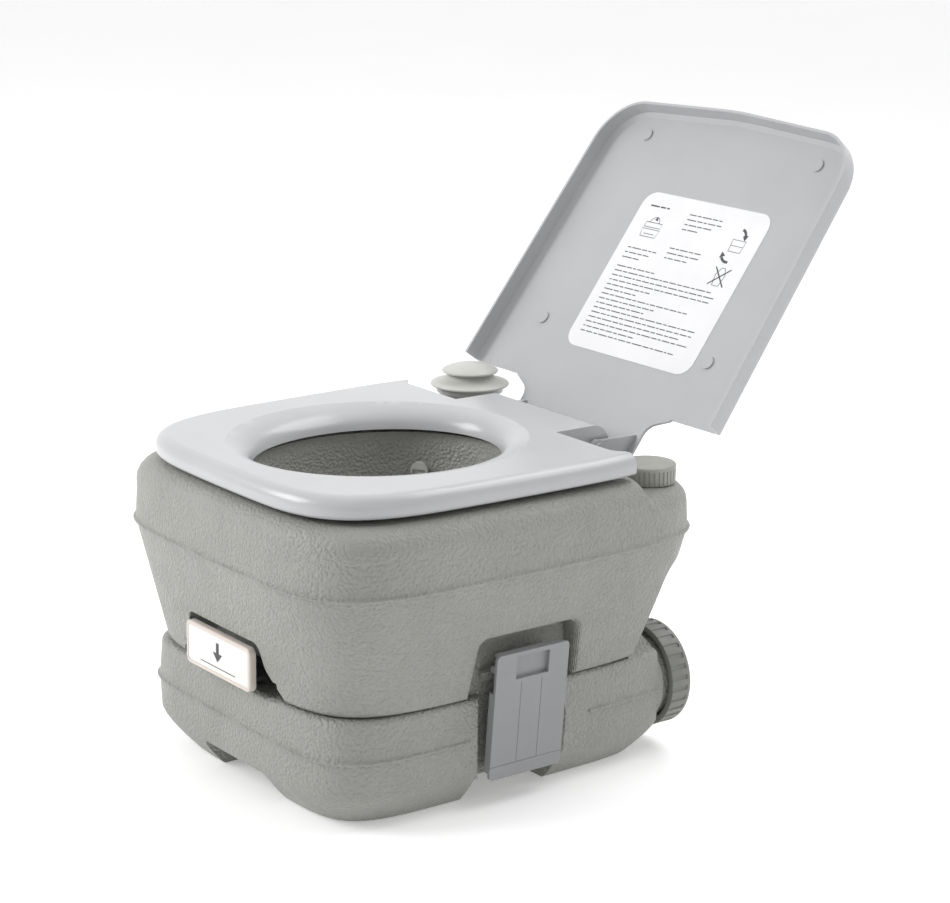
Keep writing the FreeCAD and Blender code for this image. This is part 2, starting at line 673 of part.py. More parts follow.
def deck_tool(grow):
    """Space above the rear deck, its front face leaning forward."""
    low = NOTCH_Y - grow
    far = BODY_LENGTH
    corners = [V(-far, low, DECK_Z - 30), V(-far, low, DECK_Z), V(-far, low - 7, SHOULDER_Z + 1),
               V(-far, low - 12, SHOULDER_Z + 30), V(-far, far, SHOULDER_Z + 30), V(-far, far, DECK_Z - 30)]
    return slab(corners, [0, 8, 0, 0, 0, 0], V(2 * far, 0, 0))


def flush_rear_tool(grow):
    """Space under the rear overhang, where the spout and its cap stand."""
    foot = REAR_FOOT_Y - grow
    far = BODY_LENGTH
    low = PARTING_Z - 20
    corners = [V(-far, foot - 4, low), V(-far, foot + 36, GIRTH_Z - 33 + grow),
               V(-far, foot + 66, GIRTH_Z - 17 + grow), V(-far, far, GIRTH_Z - 13 + grow), V(-far, far, low)]
    return slab(corners, [0, 26, 26, 0, 0], V(2 * far, 0, 0))


def bay_slab(x, half, z0, z1, radius):
    corners = [V(x, -half - 5, z0), V(x, half + 5, z0), V(x, half, z1), V(x, -half, z1)]
    return slab(corners, [0, 0, radius, radius], V(BODY_WIDTH, 0, 0))


def flush_bay():
    """Latch bay of the flush tank; narrow steps round its mouth along the leaning wall."""
    half = FLUSH_BAY_HALF_W
    low = PARTING_Z - 10
    tools = [bay_slab(FLUSH_BAY_X, half, low, FLUSH_BAY_TOP, BAY_R)]
    wall = HALF_GIRTH_W - WALL_TAPER
    lean = math.degrees(math.atan2(WALL_TAPER, GIRTH_Z - FLUSH_FLOOR))
    for i, (depth, height) in enumerate(rolled()[1:]):
        out = MOUTH_R * depth
        floor_x = wall - MOUTH_R * (1 - height)
        step = bay_slab(floor_x, half + out, low - i - 1, FLUSH_BAY_TOP + out, BAY_R + out)
        tools.append(turned(step, V(wall, 0, FLUSH_FLOOR), AXIS_Y, lean))
    return tools


def flush_bay_skin():
    """What the latch bay takes from the inside of the tank."""
    room = MOUTH_R + TANK_WALL
    floor_x = FLUSH_BAY_X - TANK_WALL
    return [bay_slab(floor_x, FLUSH_BAY_HALF_W + room, PARTING_Z - 10, FLUSH_BAY_TOP + room, BAY_R + 3)]


def catch_ledge():
    """Ledge on the bay floor that the latch hooks hold down."""
    x0 = FLUSH_BAY_X - 2
    x1 = FLUSH_BAY_X + CATCH_REACH
    y = -LATCH_HALF_W
    corners = [V(x0, y, CATCH_Z), V(x1, y, CATCH_Z), V(x1, y, CATCH_Z - 5), V(x0, y, CATCH_Z - 12)]
    return prism(corners, V(0, 2 * LATCH_HALF_W, 0))


def front_arch(grow):
    """Hand space around the pull handle, flared at its foot, and the valve's pocket behind it."""
    half = ARCH_HALF_W + grow
    z1 = ARCH_TOP_Z + grow
    z0 = PARTING_Z - 10
    y0 = -BODY_LENGTH
    flare_z = FLUSH_FLOOR + 4
    right = [V(half + 22, y0, z0), V(half + 20, y0, flare_z), V(half, y0, ARCH_KNEE_Z), V(half - 4, y0, z1)]
    corners = [V(-half - 22, y0, z0)] + right + [V(-p.x, y0, p.z) for p in reversed(right[1:])]
    mouth = slab(corners, [0, 0, 14, 16, 9, 9, 16, 14], V(0, BODY_LENGTH + ARCH_DEPTH_Y + grow, 0))
    side = PLATE_HALF_W + 5 + grow
    rear = PLATE_REAR + 5 + grow
    front = -HALF_LENGTH - 20
    low = z0 - 3
    pocket_corners = [V(-side, front, low), V(side, front, low), V(side, rear, low), V(-side, rear, low)]
    pocket = slab(pocket_corners, [0, 0, PLATE_R, PLATE_R], V(0, 0, POCKET_Z + grow - low))
    return [mouth, pocket]


def bowl_half(share):
    """Half sizes of the bowl where it has widened by this share."""
    return OUTLET_R + (BOWL_HALF_X - OUTLET_R) * share, OUTLET_R + (BOWL_HALF_Y - OUTLET_R) * share


def bowl(grow, rim_z):
    """The funnel of the bowl; grow adds the wall."""
    rows = [(POCKET_Z - 1, OUTLET_R, OUTLET_R), (POCKET_Z + 8, OUTLET_R + 0.5, OUTLET_R + 1)]
    for height, widening in BOWL_FORM:
        half_x, half_y = bowl_half(widening)
        rows.append((POCKET_Z + (rim_z - POCKET_Z) * height, half_x, half_y))
    return loft([ellipse(a + grow, b + grow, BOWL_Y, z) for z, a, b in rows])


def hinge_lugs():
    """Two ears on the deck that hold the hinge pins."""
    lugs = []
    for x0 in (-LUG_OUTER, LUG_OUTER - LUG_T):
        foot = box(x0, x0 + LUG_T, HINGE_Y - LUG_R, HINGE_Y + LUG_R, DECK_Z - 2, HINGE_Z)
        ear = foot.fuse(rod(LUG_R, V(x0, HINGE_Y, HINGE_Z), LUG_T, AXIS_X))
        lugs.append(ear.cut(rod(HINGE_PIN_R, V(x0 - 1, HINGE_Y, HINGE_Z), LUG_T + 2, AXIS_X)))
    return lugs


def cut_each(solid, tools):
    """Cuts one tool after another."""
    for tool in tools:
        solid = solid.cut(tool)
    return solid


def fill_neck():
    neck = rod(FILL_NECK_R, V(CAP_X, CAP_Y, DECK_Z - 3), FILL_NECK_H + 3)
    ridge = rod(FILL_NECK_R + THREAD_PROUD, V(CAP_X, CAP_Y, DECK_Z + 5), THREAD_HEIGHT)
    return neck.fuse(ridge)


def nozzle_axis():
    """Where the rinse nozzle passes the bowl's wall, its direction, and the way left to the pump."""
    centre = V(0, BOWL_Y, 0)
    direction = (PUMP - centre).normalize()
    half_x, half_y = bowl_half(0.92)
    reach = 1 / math.sqrt((direction.x / half_x) ** 2 + (direction.y / half_y) ** 2)
    start = centre + direction * reach
    return V(start.x, start.y, NOZZLE_Z), direction, (PUMP - centre).Length - reach


def flush_tank():
    outer = flush_body(0.0).fuse(plateau(0.0, 0.0))
    bead = girth_bead(HALF_GIRTH_W, -HALF_GIRTH_L, HALF_GIRTH_L, FLUSH_POWER, GIRTH_Z)
    outer = outer.fuse(bead)
    bay = flush_bay()
    tools = bay + [mirrored(tool) for tool in bay] + [flush_rear_tool(0.0)] + front_arch(0.0)
    outer = cut_each(outer, tools)
    catch = catch_ledge()
    outer = outer.fuse([catch, mirrored(catch), fill_neck()] + hinge_lugs())
    inner = flush_body(TANK_WALL).fuse(plateau(TANK_WALL, TANK_WALL))
    inner_bay = flush_bay_skin()
    inner_tools = inner_bay + [mirrored(tool) for tool in inner_bay]
    inner_tools += [flush_rear_tool(TANK_WALL)] + front_arch(TANK_WALL)
    water = cut_each(inner, inner_tools + [bowl(TANK_WALL, SHOULDER_Z + 1)])
    start, direction, _ = nozzle_axis()
    holes = [bowl(0.0, SHOULDER_Z + 2), rod(OUTLET_R, V(0, BOWL_Y, PARTING_Z), 30)]
    holes += [rod(FILL_BORE_R, V(CAP_X, CAP_Y, DECK_Z - 8), 30)]
    holes += [rod(BARREL_R, PUMP + V(0, 0, DECK_Z - 8), 20)]
    holes += [rod(NOZZLE_R, start - direction * 6, 14, direction)]
    return cut_each(outer, [water] + holes).Solids


# ================================================================ pump
def pump_collar():
    base = rod(COLLAR_R, PUMP + V(0, 0, DECK_Z), COLLAR_T)
    base = round_edges(base, 1.5, lambda e: e.CenterOfMass.z > DECK_Z + COLLAR_T - 0.1)
    return [base.cut(rod(BARREL_R, PUMP + V(0, 0, DECK_Z - 1), COLLAR_T + 2))]


def ring_profile(radii, inner):
    """Turned solid round the pump's axis, from (z, radius) pairs down to an inner radius."""
    points = [V(inner, 0, radii[0][0])] + [V(r, 0, z) for z, r in radii] + [V(inner, 0, radii[-1][0])]
    face = Part.Face(Part.makePolygon(points + [points[0]]))
    solid = face.revolve(V(0, 0, 0), AXIS_Z, 360)
    solid.translate(PUMP)
    return solid


def pump_bellows():
    base = DECK_Z + COLLAR_T
    rows = [(base, 26), (base + 3, 28), (base + 7, 22), (base + 13, 30), (base + 19, 22), (base + 25, 31)]
    rows += [(FLARE_Z - 2, FLARE_R - 1.5), (FLARE_Z, FLARE_R), (FLARE_Z + 1.5, FLARE_R - 1.5)]
    rows += [(BUTTON_Z - 3, 21), (BUTTON_Z - RUN_GAP, 20)]
    return [ring_profile(rows, 17.0)]


def pump_button():
    rows = [(BUTTON_Z, BUTTON_R - 2.2), (BUTTON_Z + 1.5, BUTTON_R), (BUTTON_Z + 3, BUTTON_R - 0.3)]
    rows += [(BUTTON_Z + 5.5, 21), (BUTTON_Z + 7.5, 13), (BUTTON_Z + 8.3, 5)]
    cap = ring_profile(rows, 0.0)
    stem = rod(8.0, PUMP + V(0, 0, DECK_Z + 12), BUTTON_Z - DECK_Z - 11)
    plunger = rod(BARREL_R - BARREL_WALL - 1.0, PUMP + V(0, 0, DECK_Z + COLLAR_T), 8)
    return [cap.fuse([stem, plunger]).removeSplitter()]


def pump_barrel():
    """Open cylinder in the tank under the collar, pierced for the rinse pipe."""
    top = DECK_Z + COLLAR_T
    barrel = tube(BARREL_R, BARREL_R - BARREL_WALL, PUMP + V(0, 0, BARREL_FOOT_Z), top - BARREL_FOOT_Z)
    floor = tube(BARREL_R, TAIL_BORE_R, PUMP + V(0, 0, BARREL_FOOT_Z - 2), 2)
    tail = tube(TAIL_R, TAIL_BORE_R, PUMP + V(0, 0, BARREL_FOOT_Z - 6), 4)
    start, direction, reach = nozzle_axis()
    port = rod(PIPE_R, start + direction * (reach - BARREL_R - 2), 12, direction)
    return [barrel.fuse([floor, tail]).removeSplitter().cut(port)]


def rinse_pipe():
    start, direction, reach = nozzle_axis()
    length = reach - BARREL_R + 0.6 - 8
    return [tube(PIPE_R, PIPE_BORE_R, start + direction * 8, length, direction)]


def rinse_nozzle():
    start, direction, _ = nozzle_axis()
    stem = rod(NOZZLE_R, start - direction * 6, 14, direction)
    flange = rod(NOZZLE_R + 3, start - direction * 9, 3, direction)
    bore = rod(PIPE_BORE_R, start - direction * 5, 16, direction)
    slot = box(-6, 6, -1.2, 1.2, -5, 1)
    slot.rotate(V(0, 0, 0), AXIS_Z, math.degrees(math.atan2(direction.y, direction.x)) + 90)
    slot.translate(start - direction * 8)
    return [stem.fuse(flange).cut([bore, slot]).removeSplitter()]


def pump_foot_valve():
    """Inlet check valve on the barrel's tail: a strainer cup."""
    foot = BARREL_FOOT_Z - 14
    cup = rod(12.0, PUMP + V(0, 0, foot), 8)
    hollow = rod(10.0, PUMP + V(0, 0, foot - 1), 7)
    bore = rod(TAIL_BORE_R, PUMP + V(0, 0, foot + 5), 5)
    bar = box(PUMP.x - 14, PUMP.x + 14, PUMP.y - 1, PUMP.y + 1, foot - 1, foot + 4)
    slots = [turned(bar, PUMP, AXIS_Z, 45 * i) for i in range(4)]
    return [cup.cut([hollow, bore] + slots)]


# ================================================================ caps
def fluted(solid, radius, low, high, width, depth):
    """Cuts FLUTE_COUNT round-ended flutes into a +Z cap, from low to high."""
    bar = box(radius - depth, radius + 3, -width / 2, width / 2, low, high - width / 2)
    end = rod(width / 2, V(radius - depth, 0, high - width / 2), 3 + depth, AXIS_X)
    tool = bar.fuse(end)
    return solid.cut([turned(tool, V(0, 0, 0), AXIS_Z, 360.0 * i / FLUTE_COUNT) for i in range(FLUTE_COUNT)])


def cap_blank(radius, height, bore, depth, edge, flute_width, flute_top):
    """A screw cap standing on z = 0, open below."""
    cap = rod(radius, V(0, 0, 0), height)
    cap = round_edges(cap, edge, lambda e: e.CenterOfMass.z > height - 0.1)
    cap = cap.cut(rod(bore, V(0, 0, -1), depth + 1))
    return fluted(cap, radius, -1, flute_top, flute_width, 0.9)


def fill_cap():
    bore = FILL_NECK_R + THREAD_PROUD + RUN_GAP
    cap = cap_blank(CAP_R, CAP_HEIGHT, bore, CAP_HEIGHT - CAP_TOP_T, 1.2, 2.6, CAP_HEIGHT - 3.4)
    cap.translate(V(CAP_X, CAP_Y, DECK_Z + CAP_LIFT))
    return [cap]


def fill_cap_gasket():
    top = DECK_Z + CAP_LIFT + CAP_HEIGHT - CAP_TOP_T
    return [tube(FILL_NECK_R, FILL_BORE_R, V(CAP_X, CAP_Y, top - FILL_GASKET_T), FILL_GASKET_T)]


def spout_cap():
    bore = SPOUT_NECK_R + THREAD_PROUD + RUN_GAP
    cap = cap_blank(SPOUT_CAP_R, SPOUT_CAP_T, bore, SPOUT_CAP_T - CAP_WALL, 2.5, 5.2, SPOUT_CAP_T - 4.5)
    cap.rotate(V(0, 0, 0), AXIS_X, -90)
    cap.translate(V(SPOUT_X, SPOUT_CAP_Y, SPOUT_Z))
    return [cap]


def spout_cap_gasket():
    start = V(SPOUT_X, SPOUT_CAP_Y + SPOUT_CAP_T - CAP_WALL - SPOUT_GASKET_T, SPOUT_Z)
    return [tube(SPOUT_NECK_R, SPOUT_BORE_R, start, SPOUT_GASKET_T, AXIS_Y)]


# ================================================================ seat
def seat_block(inset):
    """Outer form of the seat without its opening, shrunk by inset."""
    low = SEAT_Z + inset
    high = SEAT_Z + SEAT_T - inset
    under = SEAT_UNDER_R - inset
    edge = SEAT_EDGE_R - inset
    rows = [(low + under * (1 - height), under * depth) for depth, height in reversed(rolled(3))]
    rows += [(high - edge * (1 - height), edge * depth) for depth, height in rolled()]
    wires = []
    for z, drawn_in in rows:
        pull = drawn_in + inset
        front = SEAT_FRONT + pull
        rear = SEAT_REAR + 90 - pull
        wires.append(outline(SEAT_HALF_W - pull, front, rear, SEAT_POWER, z, SEAT_TAPER))
    return loft(wires)


def seat_rear_tool(inset):
    """Space behind the wide part of the seat, which keeps a small ear at each side."""
    low = SEAT_Z - 5
    rear = SEAT_REAR - inset
    ear = SEAT_EAR_X + inset
    side = BODY_WIDTH
    far = BODY_LENGTH
    back = rear + SEAT_EAR
    right = [V(ear - 11, rear, low), V(ear, back, low), V(side, back, low), V(side, far, low)]
    corners = right + [V(-p.x, p.y, low) for p in reversed(right)]
    return slab(corners, [16, 10, 0, 0, 0, 0, 10, 16], V(0, 0, SEAT_T + 20))


def seat_hole(inset):
    """Opening with a rolled edge; inset adds the wall beside and below it."""
    rows = [(-4.0, 0.0)]
    rows += [((SEAT_T + 0.6) * height, ROLL_WIDTH * depth) for depth, height in rolled()[:-1]]
    rows.append((SEAT_T + 2.0, ROLL_WIDTH))
    wires = []
    for z, out in rows:
        half_x = HOLE_HALF_X + out + inset
        half_y = HOLE_HALF_Y + out * ROLL_LENGTHWISE + inset
        wires.append(ellipse(half_x, half_y, BOWL_Y, SEAT_Z + z - 0.8 * inset))
    return loft(wires)


def seat_tongue():
    """Rear tongue that rolls down round the hinge, hollow and slotted for the tank's ears."""
    top = SEAT_Z + SEAT_T
    half = TONGUE_HALF_W
    room = LUG_OUTER + LUG_GAP
    front = SEAT_REAR - 30
    roll = rod(KNUCKLE_R, V(-half, HINGE_Y, HINGE_Z), 2 * half, AXIS_X)
    corners = [V(-half, front, top), V(-half, HINGE_Y, HINGE_Z + KNUCKLE_R), V(-half, HINGE_Y, HINGE_Z),
               V(-half, front, SEAT_Z)]
    tongue = prism(corners, V(2 * half, 0, 0)).fuse(roll)
    below = box(-half - 1, half + 1, HINGE_Y - 60, HINGE_Y + 60, HINGE_Z - 40, HINGE_Z - 6.5)
    arch = rod(KNUCKLE_R - KNUCKLE_WALL, V(-room, HINGE_Y, HINGE_Z), 2 * room, AXIS_X)
    swing = KNUCKLE_R * 0.55
    slots = [box(x0 - LUG_GAP, x0 + LUG_T + LUG_GAP, HINGE_Y + swing, HINGE_Y + 2 * KNUCKLE_R,
                 HINGE_Z - KNUCKLE_R, HINGE_Z + KNUCKLE_R * 0.75) for x0 in (-LUG_OUTER, LUG_OUTER - LUG_T)]
    return cut_each(tongue, [below, arch] + slots)


def seat():
    body = seat_block(0.0).cut(seat_rear_tool(0.0))
    hollow = seat_block(SEAT_WALL).cut(seat_rear_tool(SEAT_WALL)).cut(seat_hole(SEAT_WALL))
    front_of_tongue = box(-400, 400, -400, SEAT_REAR - 32, 0, 400)
    hollow = hollow.common(front_of_tongue)
    ring = cut_each(body.fuse(seat_tongue()), [seat_hole(0.0), hollow])
    start = V(-TONGUE_HALF_W - 1, HINGE_Y, HINGE_Z)
    ring = ring.cut(rod(HINGE_PIN_R + PIN_GAP, start, 2 * TONGUE_HALF_W + 2, AXIS_X))
    return [max(ring.Solids, key=lambda solid: solid.Volume)]


def seat_bumpers():
    """Four rubber buffers under the seat."""
    height = SEAT_Z - SHOULDER_Z - RUN_GAP
    places = [(x, y) for x in (-SEAT_PAD_X, SEAT_PAD_X) for y in (SEAT_FRONT + 60.0, SEAT_REAR - 38.0)]
    return [rod(SEAT_PAD_R, V(x, y, SEAT_Z - height), height) for x, y in places]


# ================================================================ lid
def lid_wire(z, inset, rear):
    """Closed-lid outline: wide tray with round front corners and a bowed front edge."""
    half_rear = LID_HALF_W * 1.03 - inset
    half_front = LID_HALF_W * 0.975 - inset
    front = HINGE_Y - LID_LENGTH + inset
    bow = 8.0
    radius = LID_CORNER_R - inset
    corners = [V(-half_rear, rear, z), V(half_rear, rear, z), V(half_front, front + bow, z), V(0, front, z),
               V(-half_front, front + bow, z)]
    return rounded_polygon(corners, [0.0, 0.0, radius, 400.0, radius])


def lid_tray():
    top = HINGE_Z + LID_TOP
    rear = HINGE_Y - LID_REAR
    outer = loft([lid_wire(top - LID_RIM, 0.0, rear), lid_wire(top - 5, 0.9, rear),
                  lid_wire(top - 1.5, 2.4, rear), lid_wire(top, 5.5, rear)])
    inner = loft([lid_wire(top - LID_RIM - 1, 2.4, rear + 5), lid_wire(top - LID_T - 4, 4.2, rear + 5),
                  lid_wire(top - LID_T, 8.0, rear + 5)])
    return outer.cut(inner)


def lid_neck():
    """Narrow plate behind the tray, out to the cheeks."""
    top = HINGE_Z + LID_TOP
    z = top - LID_T
    rear = HINGE_Y - 9.0
    front = HINGE_Y - LID_REAR - 1
    half = NECK_HALF_W
    right = [V(half, rear, z), V(half, front + 13, z), V(half + 26, front + 1, z), V(half + 26, front - 8, z)]
    corners = [V(-half, rear, z)] + right + [V(-p.x, p.y, z) for p in reversed(right[1:])]
    return slab(corners, [6, 6, 14, 9, 0, 0, 9, 14], V(0, 0, LID_T))


def lid_cheek():
    """Fan-shaped side plate from the hinge eye up to the neck, on the +X side."""
    top = HINGE_Z + LID_TOP
    under = top - LID_T
    x = CHEEK_INNER
    far = HINGE_Y - CHEEK_REACH
    corners = [V(x, HINGE_Y + 5.5, HINGE_Z), V(x, HINGE_Y - 9, top - 0.5), V(x, far, top - 0.5),
               V(x, far, under - 1), V(x, HINGE_Y - 5.0, HINGE_Z - 4.0)]
    wall = prism(corners, V(CHEEK_T, 0, 0)).fuse(rod(EYE_R, V(x, HINGE_Y, HINGE_Z), CHEEK_T, AXIS_X))
    return wall.cut(rod(HINGE_PIN_R + PIN_GAP, V(x - 1, HINGE_Y, HINGE_Z), CHEEK_T + 2, AXIS_X))


def opened(shape):
    return turned(shape, HINGE, AXIS_X, -LID_OPEN)


def lid():
    cheek = lid_cheek()
    solid = lid_tray().fuse([lid_neck(), cheek, mirrored(cheek)]).removeSplitter()
    return [opened(solid)]


def lid_inner_slab(x0, x1, v0, v1, thickness, radius):
    """A rounded slab on the lid's inner face, in closed-lid place."""
    z = HINGE_Z + LID_TOP - LID_T - thickness
    corners = [V(x0, HINGE_Y - v1, z), V(x1, HINGE_Y - v1, z), V(x1, HINGE_Y - v0, z), V(x0, HINGE_Y - v0, z)]
    return slab(corners, [radius] * 4, V(0, 0, thickness))


def instruction_label():
    label = lid_inner_slab(LABEL_LEFT, LABEL_RIGHT, LABEL_NEAR, LABEL_FAR, LABEL_T, LABEL_R)
    return [opened(label)]


def lid_bumpers():
    """Four low rubber buffers on the inner face of the lid."""
    start_z = HINGE_Z + LID_TOP - LID_T - BUFFER_T
    places = [(x, v) for x in (-BUFFER_X, BUFFER_X) for v in (112.0, LID_LENGTH - 33.0)]
    return [opened(rod(BUFFER_R, V(x, HINGE_Y - v, start_z), BUFFER_T)) for x, v in places]


def hinge_pins():
    start = LUG_OUTER - LUG_T - 1.0
    end = CHEEK_INNER + CHEEK_T + RUN_GAP
    pin = rod(HINGE_PIN_R, V(start, HINGE_Y, HINGE_Z), end - start, AXIS_X)
    head = rod(PIN_HEAD_R, V(end, HINGE_Y, HINGE_Z), PIN_HEAD_T, AXIS_X)
    both = pin.fuse(head)
    return [both, mirrored(both)]


# ================================================================ all nodes
NODES = [waste_tank, valve_base_plate, valve_cover_plate, valve_lower_seal, valve_upper_seal, bowl_seal,
         valve_screws, latch_pins, valve_gate, pull_handle, pull_badge, handle_screws, latch_right,
         latch_left, spout_cap, spout_cap_gasket, flush_tank, pump_collar, pump_barrel, pump_foot_valve,
         rinse_pipe, rinse_nozzle, pump_bellows, pump_button, hinge_pins, fill_cap, fill_cap_gasket,
         seat, seat_bumpers, lid, lid_bumpers, instruction_label]

os.makedirs("parts", exist_ok=True)
for node in NODES:
    save(node.__name__, node())
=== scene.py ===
# %% [markdown]
# # A portable flush toilet
# The real object is two blow-moulded tanks that latch together. The upper one holds flush water and
# the bowl, the lower one takes the waste. A seat, a lid, a bellows pump and two screw caps are separate
# mouldings. The frame loaded here is the exact model, with every piece at its real size in metres.
# Each cell dresses one piece: its shape where the frame's is too plain, and its finish.

# %% Load the frame and note its size
import math

import bmesh
import bpy
from mathutils import Matrix, Vector


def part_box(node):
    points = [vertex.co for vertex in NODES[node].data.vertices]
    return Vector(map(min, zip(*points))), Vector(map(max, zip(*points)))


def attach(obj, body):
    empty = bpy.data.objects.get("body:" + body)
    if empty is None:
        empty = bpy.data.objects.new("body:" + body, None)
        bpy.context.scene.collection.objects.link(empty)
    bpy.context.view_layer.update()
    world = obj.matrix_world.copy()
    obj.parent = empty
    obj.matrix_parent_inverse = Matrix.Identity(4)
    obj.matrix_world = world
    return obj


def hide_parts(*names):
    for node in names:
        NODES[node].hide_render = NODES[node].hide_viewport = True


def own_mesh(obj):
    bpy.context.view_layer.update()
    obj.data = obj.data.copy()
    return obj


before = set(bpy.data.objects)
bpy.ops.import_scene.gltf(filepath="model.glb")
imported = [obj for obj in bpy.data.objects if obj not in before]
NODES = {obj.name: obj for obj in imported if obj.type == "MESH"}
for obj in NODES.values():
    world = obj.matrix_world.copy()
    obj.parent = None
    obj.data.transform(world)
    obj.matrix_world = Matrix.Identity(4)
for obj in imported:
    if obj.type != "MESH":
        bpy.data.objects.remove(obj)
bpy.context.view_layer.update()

# %% [markdown]
# ## Working habits
# Operators act on whatever is selected, so each step first clears the selection and picks one object.
# A modifier is always applied at once, so what is seen is what is kept.

# %% Selection and modifier helpers
MM = 0.001


def only(piece):
    """Selects this piece and nothing else."""
    for other in list(bpy.context.selected_objects):
        other.select_set(False)
    piece.select_set(True)
    bpy.context.view_layer.objects.active = piece
    return piece


def modify(piece, kind, **settings):
    """Adds a modifier, sets it and applies it."""
    only(piece)
    modifier = piece.modifiers.new(kind.title(), kind)
    for key, value in settings.items():
        setattr(modifier, key, value)
    bpy.ops.object.modifier_apply(modifier=modifier.name)
    return piece


def name_it(name):
    piece = bpy.context.active_object
    piece.name = name
    piece.data.name = name
    return piece


def settle(piece):
    """Puts the piece's place into its mesh, so the object sits at the origin."""
    only(piece)
    bpy.ops.object.transform_apply(location=True, rotation=True, scale=True)
    return piece


def pick(piece, test, what="FACE"):
    """In edit mode, selects the faces or edges that pass the test."""
    only(piece)
    bpy.ops.object.mode_set(mode="EDIT")
    bpy.ops.mesh.select_mode(type=what)
    bpy.ops.mesh.select_all(action="DESELECT")
    mesh = bmesh.from_edit_mesh(piece.data)
    for part in (mesh.faces if what == "FACE" else mesh.edges):
        part.select_set(bool(test(part)))
    bmesh.update_edit_mesh(piece.data)


def leave_edit():
    bpy.ops.object.mode_set(mode="OBJECT")


def tidy_mesh(piece, reach=1e-6):
    """Welds double points and turns all faces outwards."""
    only(piece)
    bpy.ops.object.mode_set(mode="EDIT")
    bpy.ops.mesh.select_all(action="SELECT")
    bpy.ops.mesh.remove_doubles(threshold=reach)
    bpy.ops.mesh.normals_make_consistent(inside=False)
    leave_edit()
    return piece


def smooth(piece, degrees=35.0):
    only(piece)
    bpy.ops.object.shade_smooth_by_angle(angle=math.radians(degrees))
    return piece


def reach_along(node, direction):
    """Lowest and highest place of a frame piece along a direction."""
    way = Vector(direction).normalized()
    values = [vertex.co.dot(way) for vertex in NODES[node].data.vertices]
    return min(values), max(values)


def report(piece):
    print(piece.name, "-", len(piece.data.polygons), "faces")
    return piece


def put(piece, body, finish, stands_for=()):
    """Gives the piece its finish and its body, and hides what it stands for."""
    piece.data.materials.clear()
    piece.data.materials.append(finish)
    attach(piece, body)
    if stands_for:
        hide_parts(*stands_for)
    return report(piece)


print("helpers ready")

# %% [markdown]
# ## Plastics
# Every moulding here is plastic, but no two look alike. The tanks have a pebbled grain from the mould,
# the seat is polished, the lid is satin, and the caps are a harder, darker plastic. A finish is one
# Principled shader with a slightly uneven colour, a slightly uneven gloss and a fine relief. All
# patterns read Object coordinates, which are metres here, so a scale of 500 means a 2 mm pattern.

# %% Building blocks of a finish
def new_finish(name, roughness, coat=0.0, metallic=0.0, specular=0.5):
    """An empty plastic; the numbers that are the same all over go on the shader itself."""
    finish = bpy.data.materials.new(name)
    finish.use_nodes = True
    shader = finish.node_tree.nodes["Principled BSDF"]
    shader.inputs["Roughness"].default_value = roughness
    shader.inputs["Coat Weight"].default_value = coat
    shader.inputs["Coat Roughness"].default_value = 0.12
    shader.inputs["Metallic"].default_value = metallic
    shader.inputs["Specular IOR Level"].default_value = specular
    return finish


def add_node(finish, kind, **values):
    node = finish.node_tree.nodes.new(kind)
    for key, value in values.items():
        if key in node.inputs:
            node.inputs[key].default_value = value
        else:
            setattr(node, key, value)
    return node


def join(finish, source, target):
    finish.node_tree.links.new(source, target)


def shader_of(finish):
    return finish.node_tree.nodes["Principled BSDF"]


def object_place(finish):
    return add_node(finish, "ShaderNodeTexCoord").outputs["Object"]


def noise(finish, size_mm, detail=3.0, stretch=None):
    """Soft noise whose blobs are size_mm across."""
    place = object_place(finish)
    if stretch:
        mapping = add_node(finish, "ShaderNodeMapping")
        mapping.inputs["Scale"].default_value = stretch
        join(finish, place, mapping.inputs["Vector"])
        place = mapping.outputs["Vector"]
    node = add_node(finish, "ShaderNodeTexNoise", Scale=1.0 / (size_mm * MM), Detail=detail, Roughness=0.55)
    join(finish, place, node.inputs["Vector"])
    return node.outputs["Fac"]


def spread(finish, value, low, high, start=0.35, end=0.65):
    """Maps a noise value to the range low to high."""
    node = add_node(finish, "ShaderNodeMapRange", **{"From Min": start, "From Max": end,
                                                     "To Min": low, "To Max": high})
    join(finish, value, node.inputs["Value"])
    return node.outputs["Result"]


def colour_between(finish, value, dark, light):
    """Colour that wanders between two tones."""
    node = add_node(finish, "ShaderNodeValToRGB")
    ramp = node.color_ramp
    ramp.elements[0].position = 0.35
    ramp.elements[0].color = (*dark, 1.0)
    ramp.elements[1].position = 0.65
    ramp.elements[1].color = (*light, 1.0)
    join(finish, value, node.inputs["Fac"])
    join(finish, node.outputs["Color"], shader_of(finish).inputs["Base Color"])
    return node.outputs["Color"]


def relief(finish, height, depth_mm, strength, below=None):
    """Bump; a second relief goes on top of an earlier one."""
    node = add_node(finish, "ShaderNodeBump", Distance=depth_mm * MM, Strength=strength)
    join(finish, height, node.inputs["Height"])
    if below is not None:
        join(finish, below, node.inputs["Normal"])
    join(finish, node.outputs["Normal"], shader_of(finish).inputs["Normal"])
    return node


def tones(colour, swing):
    """A darker and a lighter neighbour of a colour."""
    return [c * (1 - swing) for c in colour], [min(1.0, c * (1 + swing)) for c in colour]


print("finish helpers ready")

# %% [markdown]
# ### Pebbled tank plastic
# A blow mould is sand-blasted or etched, and the soft plastic copies its grain: flat pebbles about
# 2 mm across with narrow valleys. A Voronoi pattern gives the pebbles, a finer noise breaks them up,
# and the grain fades out on the rounded shoulder where the real mould is polished by wear.

